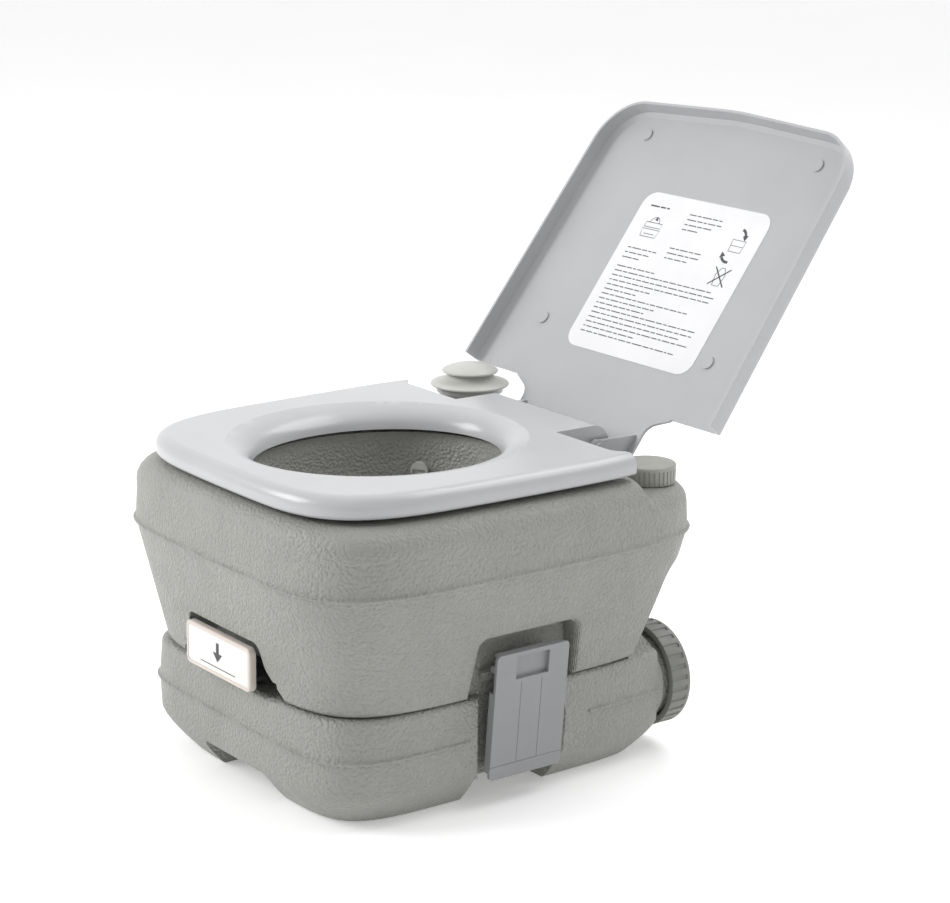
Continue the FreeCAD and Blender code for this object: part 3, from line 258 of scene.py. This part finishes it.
# %% Pebbled tank plastic
def make_pebbled(name, colour, pebble_mm, depth_mm, fade=None):
    finish = new_finish(name, roughness=0.5, specular=0.42)
    dark, light = tones(colour, 0.035)
    colour_between(finish, noise(finish, 60.0, 4.0), dark, light)
    gloss = spread(finish, noise(finish, 22.0), 0.44, 0.58)
    join(finish, gloss, shader_of(finish).inputs["Roughness"])
    place = object_place(finish)
    warp = add_node(finish, "ShaderNodeTexNoise", Scale=260.0, Detail=2.0)
    join(finish, place, warp.inputs["Vector"])
    shifted = add_node(finish, "ShaderNodeVectorMath", operation="MULTIPLY_ADD")
    shifted.inputs[1].default_value = (0.0016, 0.0016, 0.0016)
    join(finish, warp.outputs["Color"], shifted.inputs[0])
    join(finish, place, shifted.inputs[2])
    pebbles = add_node(finish, "ShaderNodeTexVoronoi", feature="SMOOTH_F1", Scale=1.0 / (pebble_mm * MM),
                       Smoothness=0.6)
    join(finish, shifted.outputs["Vector"], pebbles.inputs["Vector"])
    flat = spread(finish, pebbles.outputs["Distance"], 1.0, 0.0, 0.15, 0.75)
    grain = relief(finish, flat, depth_mm, 0.95)
    if fade:
        axes = add_node(finish, "ShaderNodeSeparateXYZ")
        join(finish, place, axes.inputs["Vector"])
        strength = spread(finish, axes.outputs["Z"], 0.95, 0.4, fade[0], fade[1])
        join(finish, strength, grain.inputs["Strength"])
    relief(finish, noise(finish, 0.7, 2.0), 0.06, 0.3, grain.outputs["Normal"])
    return finish


TANK_GREY = (0.292, 0.294, 0.274)
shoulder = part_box("flush_tank")[1].z
tank_finish = make_pebbled("pebbled tank plastic", TANK_GREY, 2.7, 1.0, (0.243, 0.262))
waste_finish = make_pebbled("pebbled waste tank plastic", TANK_GREY, 2.7, 1.0)
print("tank plastics ready, shoulder top at", round(shoulder, 4))

# %% [markdown]
# ### Polished, satin and hard plastics
# The seat is polished, so it mirrors the lamps softly; the only relief it has, faint waves from shrinking
# plastic, is left out here. The lid is satin, the latches are a little rougher, and the caps have a
# spark-eroded grain so fine that it only takes the shine away. One function serves all of them.

# %% Smooth plastics
SPECK_MM = 0.5


def make_smooth(name, colour, low_gloss, high_gloss, coat=0.0, wave_mm=38.0, wave=0.1, speck=0.12):
    """A smooth moulding: roughness wanders between two values, over long waves and fine specks."""
    finish = new_finish(name, roughness=high_gloss, coat=coat)
    dark, light = tones(colour, 0.02)
    colour_between(finish, noise(finish, wave_mm * 1.6, 2.0), dark, light)
    gloss = spread(finish, noise(finish, 9.0, 4.0), low_gloss, high_gloss)
    join(finish, gloss, shader_of(finish).inputs["Roughness"])
    waves = relief(finish, noise(finish, wave_mm, 1.0), 0.25, wave)
    relief(finish, noise(finish, SPECK_MM, 1.0), 0.03, speck, waves.outputs["Normal"])
    return finish


seat_finish = make_smooth("polished seat plastic", (0.46, 0.464, 0.475), 0.28, 0.3, coat=0.15,
                          wave=0.0, speck=0.0)
lid_finish = make_smooth("satin lid plastic", (0.43, 0.434, 0.447), 0.34, 0.44, coat=0.08)
latch_finish = make_smooth("latch plastic", (0.27, 0.273, 0.28), 0.4, 0.52, wave=0.15)
fill_cap_finish = make_smooth("filler cap plastic", (0.315, 0.318, 0.29), 0.42, 0.55, speck=0.3)
spout_cap_finish = make_smooth("spout cap plastic", (0.205, 0.21, 0.195), 0.42, 0.55, speck=0.3)
pump_finish = make_smooth("pump plastic", (0.53, 0.53, 0.5), 0.36, 0.48, speck=0.2)
frame_finish = make_smooth("cream handle plastic", (0.62, 0.56, 0.51), 0.32, 0.42)
badge_finish = make_smooth("handle insert plastic", (0.74, 0.74, 0.72), 0.28, 0.38, coat=0.2)
valve_finish = make_smooth("dark valve plastic", (0.06, 0.062, 0.064), 0.4, 0.55)
seal_finish = make_smooth("black seal rubber", (0.012, 0.012, 0.013), 0.6, 0.75, speck=0.4)
print("smooth plastics ready")

# %% [markdown]
# ### Steel pins, label film and print
# Pins and screws are drawn steel, so their tiny scratches run one way: the noise is stretched along one
# axis. The label is a thin film, almost even, and its print is a matt grey ink.

# %% Steel, film and ink
steel_finish = new_finish("drawn steel", roughness=0.3, metallic=1.0)
colour_between(steel_finish, noise(steel_finish, 3.0), (0.5, 0.5, 0.51), (0.6, 0.6, 0.61))
relief(steel_finish, noise(steel_finish, 1.2, 2.0, stretch=(1.0, 12.0, 12.0)), 0.02, 0.5)
steel_gloss = spread(steel_finish, noise(steel_finish, 2.0), 0.22, 0.36)
join(steel_finish, steel_gloss, shader_of(steel_finish).inputs["Roughness"])

film_finish = make_smooth("white label film", (0.8, 0.8, 0.82), 0.3, 0.36, wave_mm=25.0, wave=0.04)
ink_finish = make_smooth("grey label ink", (0.06, 0.06, 0.065), 0.5, 0.6, speck=0.05)
print("steel, film and ink ready")

# %% [markdown]
# ## The two tanks
# The frame has the tanks at their exact shape: tapered walls, girth beads, latch bays, feet and the
# hollow inside. Modelling them again would only lose accuracy, so each is a copy of the frame's mesh.
# The copy is loose triangles, so its points are welded first. Then the shading is smoothed across the
# narrow bands that make up each rounded edge, and weighted so that the large flat faces stay flat.

# %% A welded copy of a frame piece
def welded_copy(node, name, crease=32.0):
    """A copy of a frame piece whose rounds shade smoothly."""
    mesh = NODES[node].data.copy()
    mesh.name = name
    piece = bpy.data.objects.new(name, mesh)
    bpy.context.scene.collection.objects.link(piece)
    only(piece)
    bpy.ops.mesh.customdata_custom_splitnormals_clear()
    bpy.ops.object.mode_set(mode="EDIT")
    bpy.ops.mesh.select_all(action="SELECT")
    bpy.ops.mesh.remove_doubles(threshold=0.00002)
    leave_edit()
    smooth(piece, crease)
    modify(piece, "WEIGHTED_NORMAL", keep_sharp=True, weight=60)
    return piece


upper_tank = welded_copy("flush_tank", "upper_tank_skin")
put(upper_tank, "upper", tank_finish, ["flush_tank"])
lower_tank = welded_copy("waste_tank", "waste_tank_skin")
put(lower_tank, "base", waste_finish, ["waste_tank"])

# %% [markdown]
# ## Crisp mouldings with softened edges
# The lid, the latches and the handle are thinner mouldings. A sharp edge catches no light and looks
# false, so each copy has its flat faces joined again (limited dissolve) and its edges bevelled by half a
# millimetre or so, as the mould's own corners are. The seat keeps its shape except at the rear, where
# its cut edge is rolled over. The left latch is the right one turned half round, with its own mesh.

# %% Softened copies
def softened_copy(node, name, radius_mm, steps=2, crease=30.0):
    """A welded copy with every sharp edge rounded."""
    piece = welded_copy(node, name)
    only(piece)
    bpy.ops.mesh.customdata_custom_splitnormals_clear()
    bpy.ops.object.mode_set(mode="EDIT")
    bpy.ops.mesh.select_all(action="SELECT")
    bpy.ops.mesh.dissolve_limited(angle_limit=math.radians(0.6))
    leave_edit()
    modify(piece, "BEVEL", width=radius_mm * MM, segments=steps, limit_method="ANGLE",
           angle_limit=math.radians(crease), use_clamp_overlap=True, miter_outer="MITER_ARC")
    smooth(piece, 50.0)
    modify(piece, "WEIGHTED_NORMAL", keep_sharp=True, weight=60)
    return piece


def rounded_seat():
    """The seat with its cut rear edge rolled over, like the edge round its front."""
    piece = welded_copy("seat", "seat_skin")
    only(piece)
    bpy.ops.mesh.customdata_custom_splitnormals_clear()
    bpy.ops.object.mode_set(mode="EDIT")
    bpy.ops.mesh.select_all(action="SELECT")
    bpy.ops.mesh.dissolve_limited(angle_limit=math.radians(0.6))
    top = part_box("seat")[1].z
    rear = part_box("seat_bumpers")[1].y

    def on_rear_rim(edge):
        middle = (edge.verts[0].co + edge.verts[1].co) / 2
        high = middle.z > top - 0.016
        return high and middle.y > rear + 0.012 and edge.calc_face_angle(0.0) > math.radians(40)

    pick(piece, on_rear_rim, "EDGE")
    bpy.ops.mesh.bevel(offset=4.5 * MM, segments=5, clamp_overlap=True)
    leave_edit()
    smooth(piece, 42.0)
    modify(piece, "WEIGHTED_NORMAL", keep_sharp=True, weight=60)
    return piece


put(rounded_seat(), "seat_ring", seat_finish, ["seat"])
put(softened_copy("lid", "lid_skin", 0.7), "cover", lid_finish, ["lid"])
latch = softened_copy("latch_right", "right_latch_skin", 0.45)
put(latch, "right_latch", latch_finish, ["latch_right"])
twin = bpy.data.objects.new("left_latch_skin", latch.data.copy())
twin.data.name = "left_latch_skin"
twin.rotation_euler = (0, 0, math.pi)
bpy.context.scene.collection.objects.link(twin)
put(settle(twin), "left_latch", latch_finish, ["latch_left"])

# %% [markdown]
# ## Screw caps
# Both caps are the same idea at two sizes: a disc with grooves round its side for the fingers, a plain
# ring at the top, and a hollow below that takes the thread. A cylinder is a good start. It is bisected
# below the plain ring, and groups of its side faces are pressed in with inset, which gives each groove
# sloping sides at once. The underside is inset and pushed up to leave the wall.

# %% A grooved screw cap
def grooved_cap(name, radius, height, grooves, share, ring, depth, wall, edge, crown=0.0):
    """A cap standing on z = 0, open below, with its grooves running from the foot up to the ring."""
    per_groove = 6
    bpy.ops.mesh.primitive_cylinder_add(vertices=grooves * per_groove, radius=radius, depth=height,
                                        location=(0, 0, height / 2))
    cap = settle(name_it(name))
    pick(cap, lambda face: True)
    bpy.ops.mesh.bisect(plane_co=(0, 0, height - ring), plane_no=(0, 0, 1))
    step = 2 * math.pi / grooves

    def in_groove(face):
        if abs(face.normal.z) > 0.5 or face.calc_center_median().z > height - ring:
            return False
        middle = face.calc_center_median()
        return (math.atan2(middle.y, middle.x) % step) / step < share

    pick(cap, lambda face: face.normal.z < -0.5)
    bpy.ops.mesh.inset(thickness=wall)
    bpy.ops.mesh.extrude_region_move(TRANSFORM_OT_translate={"value": (0, 0, height - wall)})
    leave_edit()
    pick(cap, in_groove)
    bpy.ops.mesh.inset(thickness=depth * 0.45, depth=-depth)
    leave_edit()
    pick(cap, lambda face: face.normal.z > 0.5 and face.calc_center_median().z > height - 1e-5)
    bpy.ops.mesh.inset(thickness=edge)
    if crown:
        bpy.ops.mesh.inset(thickness=radius * 0.45)
        bpy.ops.transform.translate(value=(0, 0, crown))
    leave_edit()
    pick(cap, lambda e: len(e.link_faces) == 2 and abs(e.verts[0].co.z - height) < 1e-5
         and abs(e.verts[1].co.z - height) < 1e-5 and e.verts[0].co.xy.length > radius - 1e-5
         and e.verts[1].co.xy.length > radius - 1e-5, "EDGE")
    bpy.ops.mesh.bevel(offset=edge * 0.8, segments=4, affect="EDGES", profile=0.5)
    leave_edit()
    modify(cap, "BEVEL", width=depth * 0.3, segments=2, limit_method="ANGLE", angle_limit=math.radians(40))
    return smooth(tidy_mesh(cap), 40.0)


# %% Filler cap on the rear deck
low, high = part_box("fill_cap")
fill_radius = (high.x - low.x) / 2
filler = grooved_cap("filler_cap_skin", fill_radius, high.z - low.z, grooves=34, share=0.42,
                     ring=3.4 * MM, depth=0.9 * MM, wall=3.2 * MM, edge=1.4 * MM)
filler.location = ((low.x + high.x) / 2, (low.y + high.y) / 2, low.z)
put(settle(filler), "filler_cap", fill_cap_finish, ["fill_cap"])

# %% Large cap on the waste spout
low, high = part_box("spout_cap")
spout_radius = (high.x - low.x) / 2
drain = grooved_cap("drain_cap_skin", spout_radius, high.y - low.y, grooves=30, share=0.5,
                    ring=4.2 * MM, depth=1.3 * MM, wall=5.2 * MM, edge=3.2 * MM)
drain.rotation_euler = (math.radians(-90), 0, 0)
drain.location = ((low.x + high.x) / 2, low.y, (low.z + high.z) / 2)
put(settle(drain), "drain_cap", spout_cap_finish, ["spout_cap"])

# %% [markdown]
# ## Bellows pump
# A flexible bellows with a wide flange carries a mushroom button. Both are bodies of revolution, so half
# a section is drawn once and spun round the pump's axis. The section has only the points that its shape
# needs, with short arcs where its edges are round.

# %% Spinning a half section
def spun(name, section, centre, steps=96):
    """Spins (radius, height) points, in metres, round an upright axis."""
    mesh = bpy.data.meshes.new(name)
    points = [(centre.x + radius, centre.y, height) for radius, height in section]
    mesh.from_pydata(points, [(i, i + 1) for i in range(len(points) - 1)], [])
    piece = bpy.data.objects.new(name, mesh)
    bpy.context.scene.collection.objects.link(piece)
    only(piece)
    bpy.ops.object.mode_set(mode="EDIT")
    bpy.ops.mesh.select_all(action="SELECT")
    bpy.ops.mesh.spin(steps=steps, angle=2 * math.pi, center=(centre.x, centre.y, 0), axis=(0, 0, 1))
    leave_edit()
    return tidy_mesh(piece)


def arc(centre_radius, centre_height, radius, start, end, steps=6):
    """Points of an arc in the half section; 0 degrees points outwards, 90 degrees up."""
    turns = [math.radians(start + (end - start) * i / steps) for i in range(steps + 1)]
    return [(centre_radius + radius * math.cos(t), centre_height + radius * math.sin(t)) for t in turns]


low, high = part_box("pump_bellows")
pump_centre = Vector(((low.x + high.x) / 2, (low.y + high.y) / 2, 0))
flange = (high.x - low.x) / 2
foot = low.z
flange_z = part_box("pump_bellows")[1].z - 0.0107
fold_high = [(0.0268, 0.0), (0.0282, 0.0025), (0.0225, 0.007), (0.0226, 0.0082),
             (0.030, 0.0125), (0.030, 0.0137), (0.0225, 0.0185), (0.0226, 0.0197), (0.0305, 0.0245),
             (0.0312, 0.0262)]
outside = [(radius, foot + height) for radius, height in fold_high]
outside += [(flange - 0.0042, flange_z - 0.0016)] + arc(flange - 0.0014, flange_z, 0.0014, -75, 75, 6)
outside += [(flange - 0.0075, flange_z + 0.0028), (flange - 0.0125, flange_z + 0.0051)]
outside += [(0.0212, high.z - 0.003), (0.0202, high.z - 0.0008), (0.0192, high.z), (0.0178, high.z)]
inside = [(0.0172, high.z - 0.001), (0.0172, foot + 0.0005), (0.0178, foot), (0.0262, foot)]
section = outside + inside
bellows = spun("pump_bellows_skin", section + [section[0]], pump_centre)
put(smooth(bellows, 45.0), "upper", pump_finish, ["pump_bellows"])

# %% Mushroom button
low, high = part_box("pump_button")
button_radius = 0.0262
button_top = high.z
rim = button_top - 0.0062
dome = [(0.0, button_top), (0.006, button_top - 0.0002), (0.0115, button_top - 0.0009)]
dome += [(0.0165, button_top - 0.002), (0.021, button_top - 0.0036), (0.0245, button_top - 0.0053)]
edge_round = arc(button_radius - 0.0013, rim - 0.0008, 0.0013, 40, -80, 6)
under = [(0.0225, rim - 0.0022), (0.0205, rim - 0.0016), (0.0, rim - 0.0016)]
button = spun("pump_button_skin", dome + edge_round + under, pump_centre)
smooth(button, 50.0)
stem_copy = spun("pump_stem_skin", [(0.0, rim - 0.001), (0.008, rim - 0.001), (0.008, low.z + 0.009),
                                    (0.0085, low.z + 0.008), (0.0155, low.z + 0.008),
                                    (0.0155, low.z), (0.0, low.z)],
                 pump_centre, 48)
smooth(stem_copy, 30.0)
only(stem_copy)
button.select_set(True)
bpy.context.view_layer.objects.active = button
bpy.ops.object.join()
put(button, "pump_head", pump_finish, ["pump_button"])

# %% [markdown]
# ## Pull handle
# The slide valve's handle is a cream frame round a near-white insert. The frame starts as a cube: its
# four upright corners are bevelled with a large radius, its front is inset and pushed in for the
# insert's bed, and all edges are softened. The insert has a raised arrow that points the way to pull.

# %% Cream frame
def rounded_bar(name, low, high, corner, front_edge, steps=8):
    """A block with corners rounded in the front view and a softened front edge (front is -Y)."""
    size = high - low
    bpy.ops.mesh.primitive_cube_add(size=1, location=(low + high) / 2, scale=size)
    block = settle(name_it(name))
    pick(block, lambda e: abs((e.verts[0].co - e.verts[1].co).y) > size.y * 0.9, "EDGE")
    bpy.ops.mesh.bevel(offset=corner, segments=steps, affect="EDGES")
    leave_edit()
    if front_edge:
        pick(block, lambda e: max(v.co.y for v in e.verts) < low.y + 1e-6, "EDGE")
        bpy.ops.mesh.bevel(offset=front_edge, segments=4, affect="EDGES")
        leave_edit()
    return block


low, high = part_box("pull_handle")
rim_width = 3.5 * MM
handle = rounded_bar("pull_frame_skin", low, high, 6 * MM, 1.5 * MM)
pick(handle, lambda face: face.normal.y < -0.99 and face.calc_area() > 1e-4)
bpy.ops.mesh.inset(thickness=rim_width - 1.5 * MM)
bpy.ops.mesh.extrude_region_move(TRANSFORM_OT_translate={"value": (0, 1.2 * MM, 0)})
leave_edit()
modify(handle, "BEVEL", width=0.3 * MM, segments=2, limit_method="ANGLE", angle_limit=math.radians(50))
put(smooth(tidy_mesh(handle), 40.0), "gate", frame_finish, ["pull_handle"])

# %% Insert with its arrow
badge_low, badge_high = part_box("pull_badge")
insert = rounded_bar("pull_insert_skin", badge_low, badge_high, 3.2 * MM, 0.35 * MM)
put(smooth(tidy_mesh(insert), 40.0), "gate", badge_finish, ["pull_badge"])
middle = (badge_low + badge_high) / 2
face_y = badge_low.y


def flat_shape(name, corners, thickness, y):
    """A thin raised shape on a face that looks towards -Y, from (x, z) corners."""
    mesh = bpy.data.meshes.new(name)
    mesh.from_pydata([(x, y, z) for x, z in corners], [], [list(range(len(corners)))])
    piece = bpy.data.objects.new(name, mesh)
    bpy.context.scene.collection.objects.link(piece)
    modify(piece, "SOLIDIFY", thickness=thickness, offset=0.0)
    modify(piece, "BEVEL", width=thickness * 0.3, segments=2)
    return tidy_mesh(piece)


shaft = 2.0 * MM
head = 7.0 * MM
arrow_corners = [(-shaft, 9.5), (shaft, 9.5), (shaft, 0.5), (head, 0.5), (0.0, -7.0), (-head, 0.5),
                 (-shaft, 0.5)]
arrow_corners = [(middle.x + x, middle.z + z * MM + 1.0 * MM) for x, z in arrow_corners]
arrow = flat_shape("pull_arrow", arrow_corners, 0.5 * MM, face_y - 0.1 * MM)
line_z = badge_low.z + 4.2 * MM
line = [(middle.x - 27 * MM, line_z), (middle.x + 27 * MM, line_z), (middle.x + 27 * MM, line_z + 0.7 * MM),
        (middle.x - 27 * MM, line_z + 0.7 * MM)]
underline = flat_shape("pull_line", line, 0.4 * MM, face_y - 0.08 * MM)
for mark in (arrow, underline):
    put(mark, "gate", ink_finish)

# %% [markdown]
# ## Label on the inside of the lid
# The film itself comes from the frame. What is printed on it is drawn here as plain bars for the lines
# of text and a few simple pictures: a tank, arrows and a crossed-out bottle. Each mark is made flat on
# the drawing plane (x to the right, y up), joined to the others, and then laid on the open lid with one
# matrix, worked out from the hinge and the film.

# %% Drawing on the label plane
film_x = reach_along("instruction_label", (1, 0, 0))
lid_turn = math.radians(127.0)
UP = Vector((0, -math.cos(lid_turn), math.sin(lid_turn)))
OUT = Vector((0, -UP.z, UP.y))
film_up = reach_along("instruction_label", UP)
film_out = reach_along("instruction_label", OUT)
label_w = film_x[1] - film_x[0]
label_h = film_up[1] - film_up[0]
INK = 0.12 * MM
print("label", round(label_w, 4), "by", round(label_h, 4), "metres")
marks = []


def outline_mark(name, corners):
    """A flat inked shape from (x, y) corners in millimetres from the label's lower left corner."""
    mesh = bpy.data.meshes.new(name)
    mesh.from_pydata([(x * MM, y * MM, 0) for x, y in corners], [], [list(range(len(corners)))])
    mark = bpy.data.objects.new(name, mesh)
    bpy.context.scene.collection.objects.link(mark)
    marks.append(mark)
    return mark


def bar(x, y, length, height=0.9):
    outline_mark("label_bar", [(x, y), (x + length, y), (x + length, y + height), (x, y + height)])


def stroke(points, width):
    """A drawn line through (x, y) points: a chain of edges given width by inset copies."""
    left = []
    right = []
    for i, (x, y) in enumerate(points):
        x0, y0 = points[max(i - 1, 0)]
        x1, y1 = points[min(i + 1, len(points) - 1)]
        length = math.hypot(x1 - x0, y1 - y0)
        nx = -(y1 - y0) / length * width / 2
        ny = (x1 - x0) / length * width / 2
        left.append((x + nx, y + ny))
        right.append((x - nx, y - ny))
    for i in range(len(points) - 1):
        outline_mark("label_stroke", [right[i], right[i + 1], left[i + 1], left[i]])


def curved(cx, cy, radius, start, end, steps=10):
    turns = [math.radians(start + (end - start) * i / steps) for i in range(steps + 1)]
    return [(cx + radius * math.cos(t), cy + radius * math.sin(t)) for t in turns]


def arrow_head(x, y, degrees, size):
    turn = math.radians(degrees)
    tip = (x + size * math.cos(turn), y + size * math.sin(turn))
    side = turn + math.pi / 2
    base = [(x + size * 0.6 * math.cos(side) * s, y + size * 0.6 * math.sin(side) * s) for s in (1, -1)]
    outline_mark("label_arrow_head", [tip, base[0], base[1]])


print("drawing helpers ready")

# %% Text lines as bars, in words of uneven length
WIDE = label_w * 1000
TALL = label_h * 1000
WORDS = [9, 5, 12, 7, 4, 10, 6, 13, 8, 5, 11, 3, 7, 9, 6]


def text_line(x, y, width, start, height=0.95):
    """Bars with gaps between them, as far as width allows."""
    at = x
    word = start
    while at < x + width - 3:
        length = min(WORDS[word % len(WORDS)], x + width - at)
        bar(at, y, length, height)
        at += length + 1.7
        word += 1


text_line(13, TALL - 15, 26, 2, 1.5)
for row, width in enumerate((40, 33, 26)):
    text_line(13, TALL - 60 - row * 5.2, width, row * 3 + 1)
for row, width in enumerate((46, 46, 36, 24)):
    text_line(68, TALL - 16 - row * 5.2, width, row * 2)
for row, width in enumerate((42, 45, 34)):
    text_line(66, TALL - 52 - row * 5.2, width, row * 4 + 3)
widths = (52, 132, 140, 136, 60, 44, 118, 80, 66, 142, 138, 128, 140, 70, 132)
for row, width in enumerate(widths):
    text_line(13, TALL - 80 - row * 5.0, min(width, WIDE - 26), row * 3 + 2)
print(len(marks), "text marks")

# %% Pictures: tank, turning arrows, crossed-out bottle
left_x = 20.0
left_y = TALL - 46.0
stroke([(left_x, left_y), (left_x + 20, left_y), (left_x + 22, left_y + 8), (left_x - 2, left_y + 8),
        (left_x, left_y)], 0.6)
stroke([(left_x - 1, left_y + 10), (left_x + 21, left_y + 10), (left_x + 21, left_y + 15),
        (left_x - 1, left_y + 15), (left_x - 1, left_y + 10)], 0.6)
stroke([(left_x + 3, left_y + 3), (left_x + 17, left_y + 3)], 0.6)
stroke(curved(left_x + 10, left_y + 15, 6, 0, 180), 0.6)
arrow_head(left_x + 12, left_y + 19.5, 200, 4)
right_x = WIDE - 26.0
right_y = TALL - 36.0
stroke([(right_x - 7, right_y - 6), (right_x + 8, right_y - 6), (right_x + 9, right_y + 6),
        (right_x - 8, right_y + 6), (right_x - 7, right_y - 6)], 0.6)
stroke([(right_x - 7, right_y), (right_x + 8, right_y)], 0.5)
stroke(curved(right_x - 4, right_y + 8, 9, 20, 80), 2.6)
arrow_head(right_x + 4.6, right_y + 11.5, -75, 5.5)
stroke(curved(right_x - 2, right_y - 6, 11, -140, -80), 2.6)
arrow_head(right_x - 10, right_y - 12.5, 120, 5.5)
bottle_y = TALL - 68.0
stroke([(right_x - 4, bottle_y - 9), (right_x + 4, bottle_y - 9), (right_x + 6, bottle_y + 2),
        (right_x + 2, bottle_y + 9),
        (right_x - 2, bottle_y + 9), (right_x - 6, bottle_y + 2), (right_x - 4, bottle_y - 9)], 0.6)
stroke([(right_x - 10, bottle_y - 9), (right_x + 10, bottle_y + 9)], 1.3)
stroke([(right_x - 10, bottle_y + 9), (right_x + 10, bottle_y - 9)], 1.3)
print(len(marks), "marks in all")

# %% Lay the print on the film
for other in list(bpy.context.selected_objects):
    other.select_set(False)
for mark in marks:
    mark.select_set(True)
bpy.context.view_layer.objects.active = marks[0]
bpy.ops.object.join()
label_print = name_it("label_print")
film_foot = Vector((film_x[0], 0, 0)) + UP * film_up[0] + OUT * (film_out[1] + INK * 0.5)
across = Vector((1, 0, 0))
place = Matrix((across, UP, OUT)).transposed().to_4x4()
place.translation = film_foot
label_print.data.transform(place)
modify(label_print, "SOLIDIFY", thickness=INK, offset=0.0)
put(label_print, "cover", ink_finish)

# %% [markdown]
# ## Frame pieces that keep their shape
# Valve plates, seals, pins, screws and the pump's inner parts are simple mechanical shapes that the frame
# already has exactly. They only need their finish. A rubber part is dull and black, a pin is drawn steel,
# and the valve's plates are a dark plastic, seen at the bottom of the bowl.

# %% Finish on every remaining frame piece
KEPT = {
    "valve_base_plate": valve_finish, "valve_cover_plate": valve_finish, "valve_gate": valve_finish,
    "valve_lower_seal": seal_finish, "valve_upper_seal": seal_finish, "bowl_seal": seal_finish,
    "spout_cap_gasket": seal_finish, "fill_cap_gasket": seal_finish, "seat_bumpers": seal_finish,
    "lid_bumpers": lid_finish, "valve_screws": steel_finish, "handle_screws": steel_finish,
    "latch_pins": steel_finish, "hinge_pins": lid_finish, "pump_collar": pump_finish,
    "pump_barrel": pump_finish, "pump_foot_valve": pump_finish, "rinse_pipe": pump_finish,
    "rinse_nozzle": pump_finish, "instruction_label": film_finish,
}
for node, finish in KEPT.items():
    mesh_object = NODES[node]
    mesh_object.data.materials.clear()
    mesh_object.data.materials.append(finish)
hidden_under = {"flush_tank": tank_finish, "waste_tank": waste_finish, "seat": seat_finish, "lid": lid_finish,
                "latch_right": latch_finish, "latch_left": latch_finish, "fill_cap": fill_cap_finish,
                "spout_cap": spout_cap_finish, "pump_bellows": pump_finish, "pump_button": pump_finish,
                "pull_handle": frame_finish, "pull_badge": badge_finish}
for node, finish in hidden_under.items():
    NODES[node].data.materials.clear()
    NODES[node].data.materials.append(finish)
print("finished", len(KEPT), "kept pieces; no finish on", sorted(set(NODES) - set(KEPT) - set(hidden_under)))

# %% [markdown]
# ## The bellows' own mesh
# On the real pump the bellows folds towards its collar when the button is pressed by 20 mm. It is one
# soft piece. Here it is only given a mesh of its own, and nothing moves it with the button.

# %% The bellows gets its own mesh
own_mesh(bellows)

# %% [markdown]
# ## Floor, light and camera
# The object is shown on a plain pale floor under large soft lamps: one from the front left, a weaker one
# from the right, and one overhead behind for the long highlights on the seat. The sky is pale, brighter
# behind the object than in front of it, so that the right side stays a shade darker than the front.
# The camera looks down a little from the front right, with a long lens.

# %% Floor
bpy.ops.mesh.primitive_plane_add(size=80, location=(0, 0, 0))
floor = name_it("studio_floor")
floor_finish = new_finish("pale floor", roughness=0.7, specular=0.2)
colour_between(floor_finish, noise(floor_finish, 300.0, 2.0), (0.9, 0.9, 0.9), (0.915, 0.915, 0.915))
shader_of(floor_finish).inputs["Emission Color"].default_value = (1.0, 1.0, 1.0, 1.0)
shader_of(floor_finish).inputs["Emission Strength"].default_value = 0.25
floor.data.materials.append(floor_finish)

# %% Lamps and sky
def lamp(name, place, size, power, target=(0, 0, 0.18), colour=(1, 1, 1)):
    data = bpy.data.lights.new(name, "AREA")
    data.shape = "RECTANGLE"
    data.size = size[0]
    data.size_y = size[1]
    data.energy = power
    data.color = colour
    body = bpy.data.objects.new(name, data)
    body.location = place
    body.rotation_euler = (Vector(target) - Vector(place)).to_track_quat("-Z", "Y").to_euler()
    bpy.context.scene.collection.objects.link(body)
    return body


lamp("front left softbox", (-1.5, -2.4, 1.9), (1.6, 1.6), 64)
lamp("right softbox", (2.6, -0.4, 1.3), (1.4, 1.6), 4)
lamp("overhead rear softbox", (0.3, 1.5, 2.3), (2.4, 1.2), 34)
sky = bpy.data.worlds.new("pale sky")
bpy.context.scene.world = sky
sky.use_nodes = True
background = sky.node_tree.nodes["Background"]
background.inputs["Color"].default_value = (1.0, 1.0, 1.0, 1.0)
direction = sky.node_tree.nodes.new("ShaderNodeTexCoord").outputs["Generated"]
bright_side = sky.node_tree.nodes.new("ShaderNodeVectorMath")
bright_side.operation = "DOT_PRODUCT"
bright_side.inputs[1].default_value = (-0.79, 0.61, 0.0)
strength = sky.node_tree.nodes.new("ShaderNodeMapRange")
strength.inputs["From Min"].default_value = -1.0
strength.inputs["To Min"].default_value = 0.34
strength.inputs["To Max"].default_value = 1.12
sky.node_tree.links.new(direction, bright_side.inputs[0])
sky.node_tree.links.new(bright_side.outputs["Value"], strength.inputs["Value"])
sky.node_tree.links.new(strength.outputs["Result"], background.inputs["Strength"])
bpy.context.scene.view_settings.view_transform = "Standard"
print("lights ready")

# %% Camera
VIEW_TURN = math.radians(52.78)
VIEW_DROP = math.radians(14.93)
VIEW_ROLL = math.radians(0.72)
VIEW_RANGE = 2.23425
aim = Vector((0.0328, 0.0436, 0.2655))
forward = Vector((-math.sin(VIEW_TURN) * math.cos(VIEW_DROP), math.cos(VIEW_TURN) * math.cos(VIEW_DROP),
                  -math.sin(VIEW_DROP)))
data = bpy.data.cameras.new("studio camera")
data.lens = 98.64
data.sensor_width = 36.0
data.clip_end = 200.0
camera = bpy.data.objects.new("studio camera", data)
camera.matrix_world = (Matrix.Translation(aim - forward * VIEW_RANGE)
                       @ forward.to_track_quat("-Z", "Y").to_matrix().to_4x4()
                       @ Matrix.Rotation(VIEW_ROLL, 4, "Z"))
bpy.context.scene.collection.objects.link(camera)
bpy.context.scene.camera = camera
print("camera at", [round(v, 3) for v in camera.location])
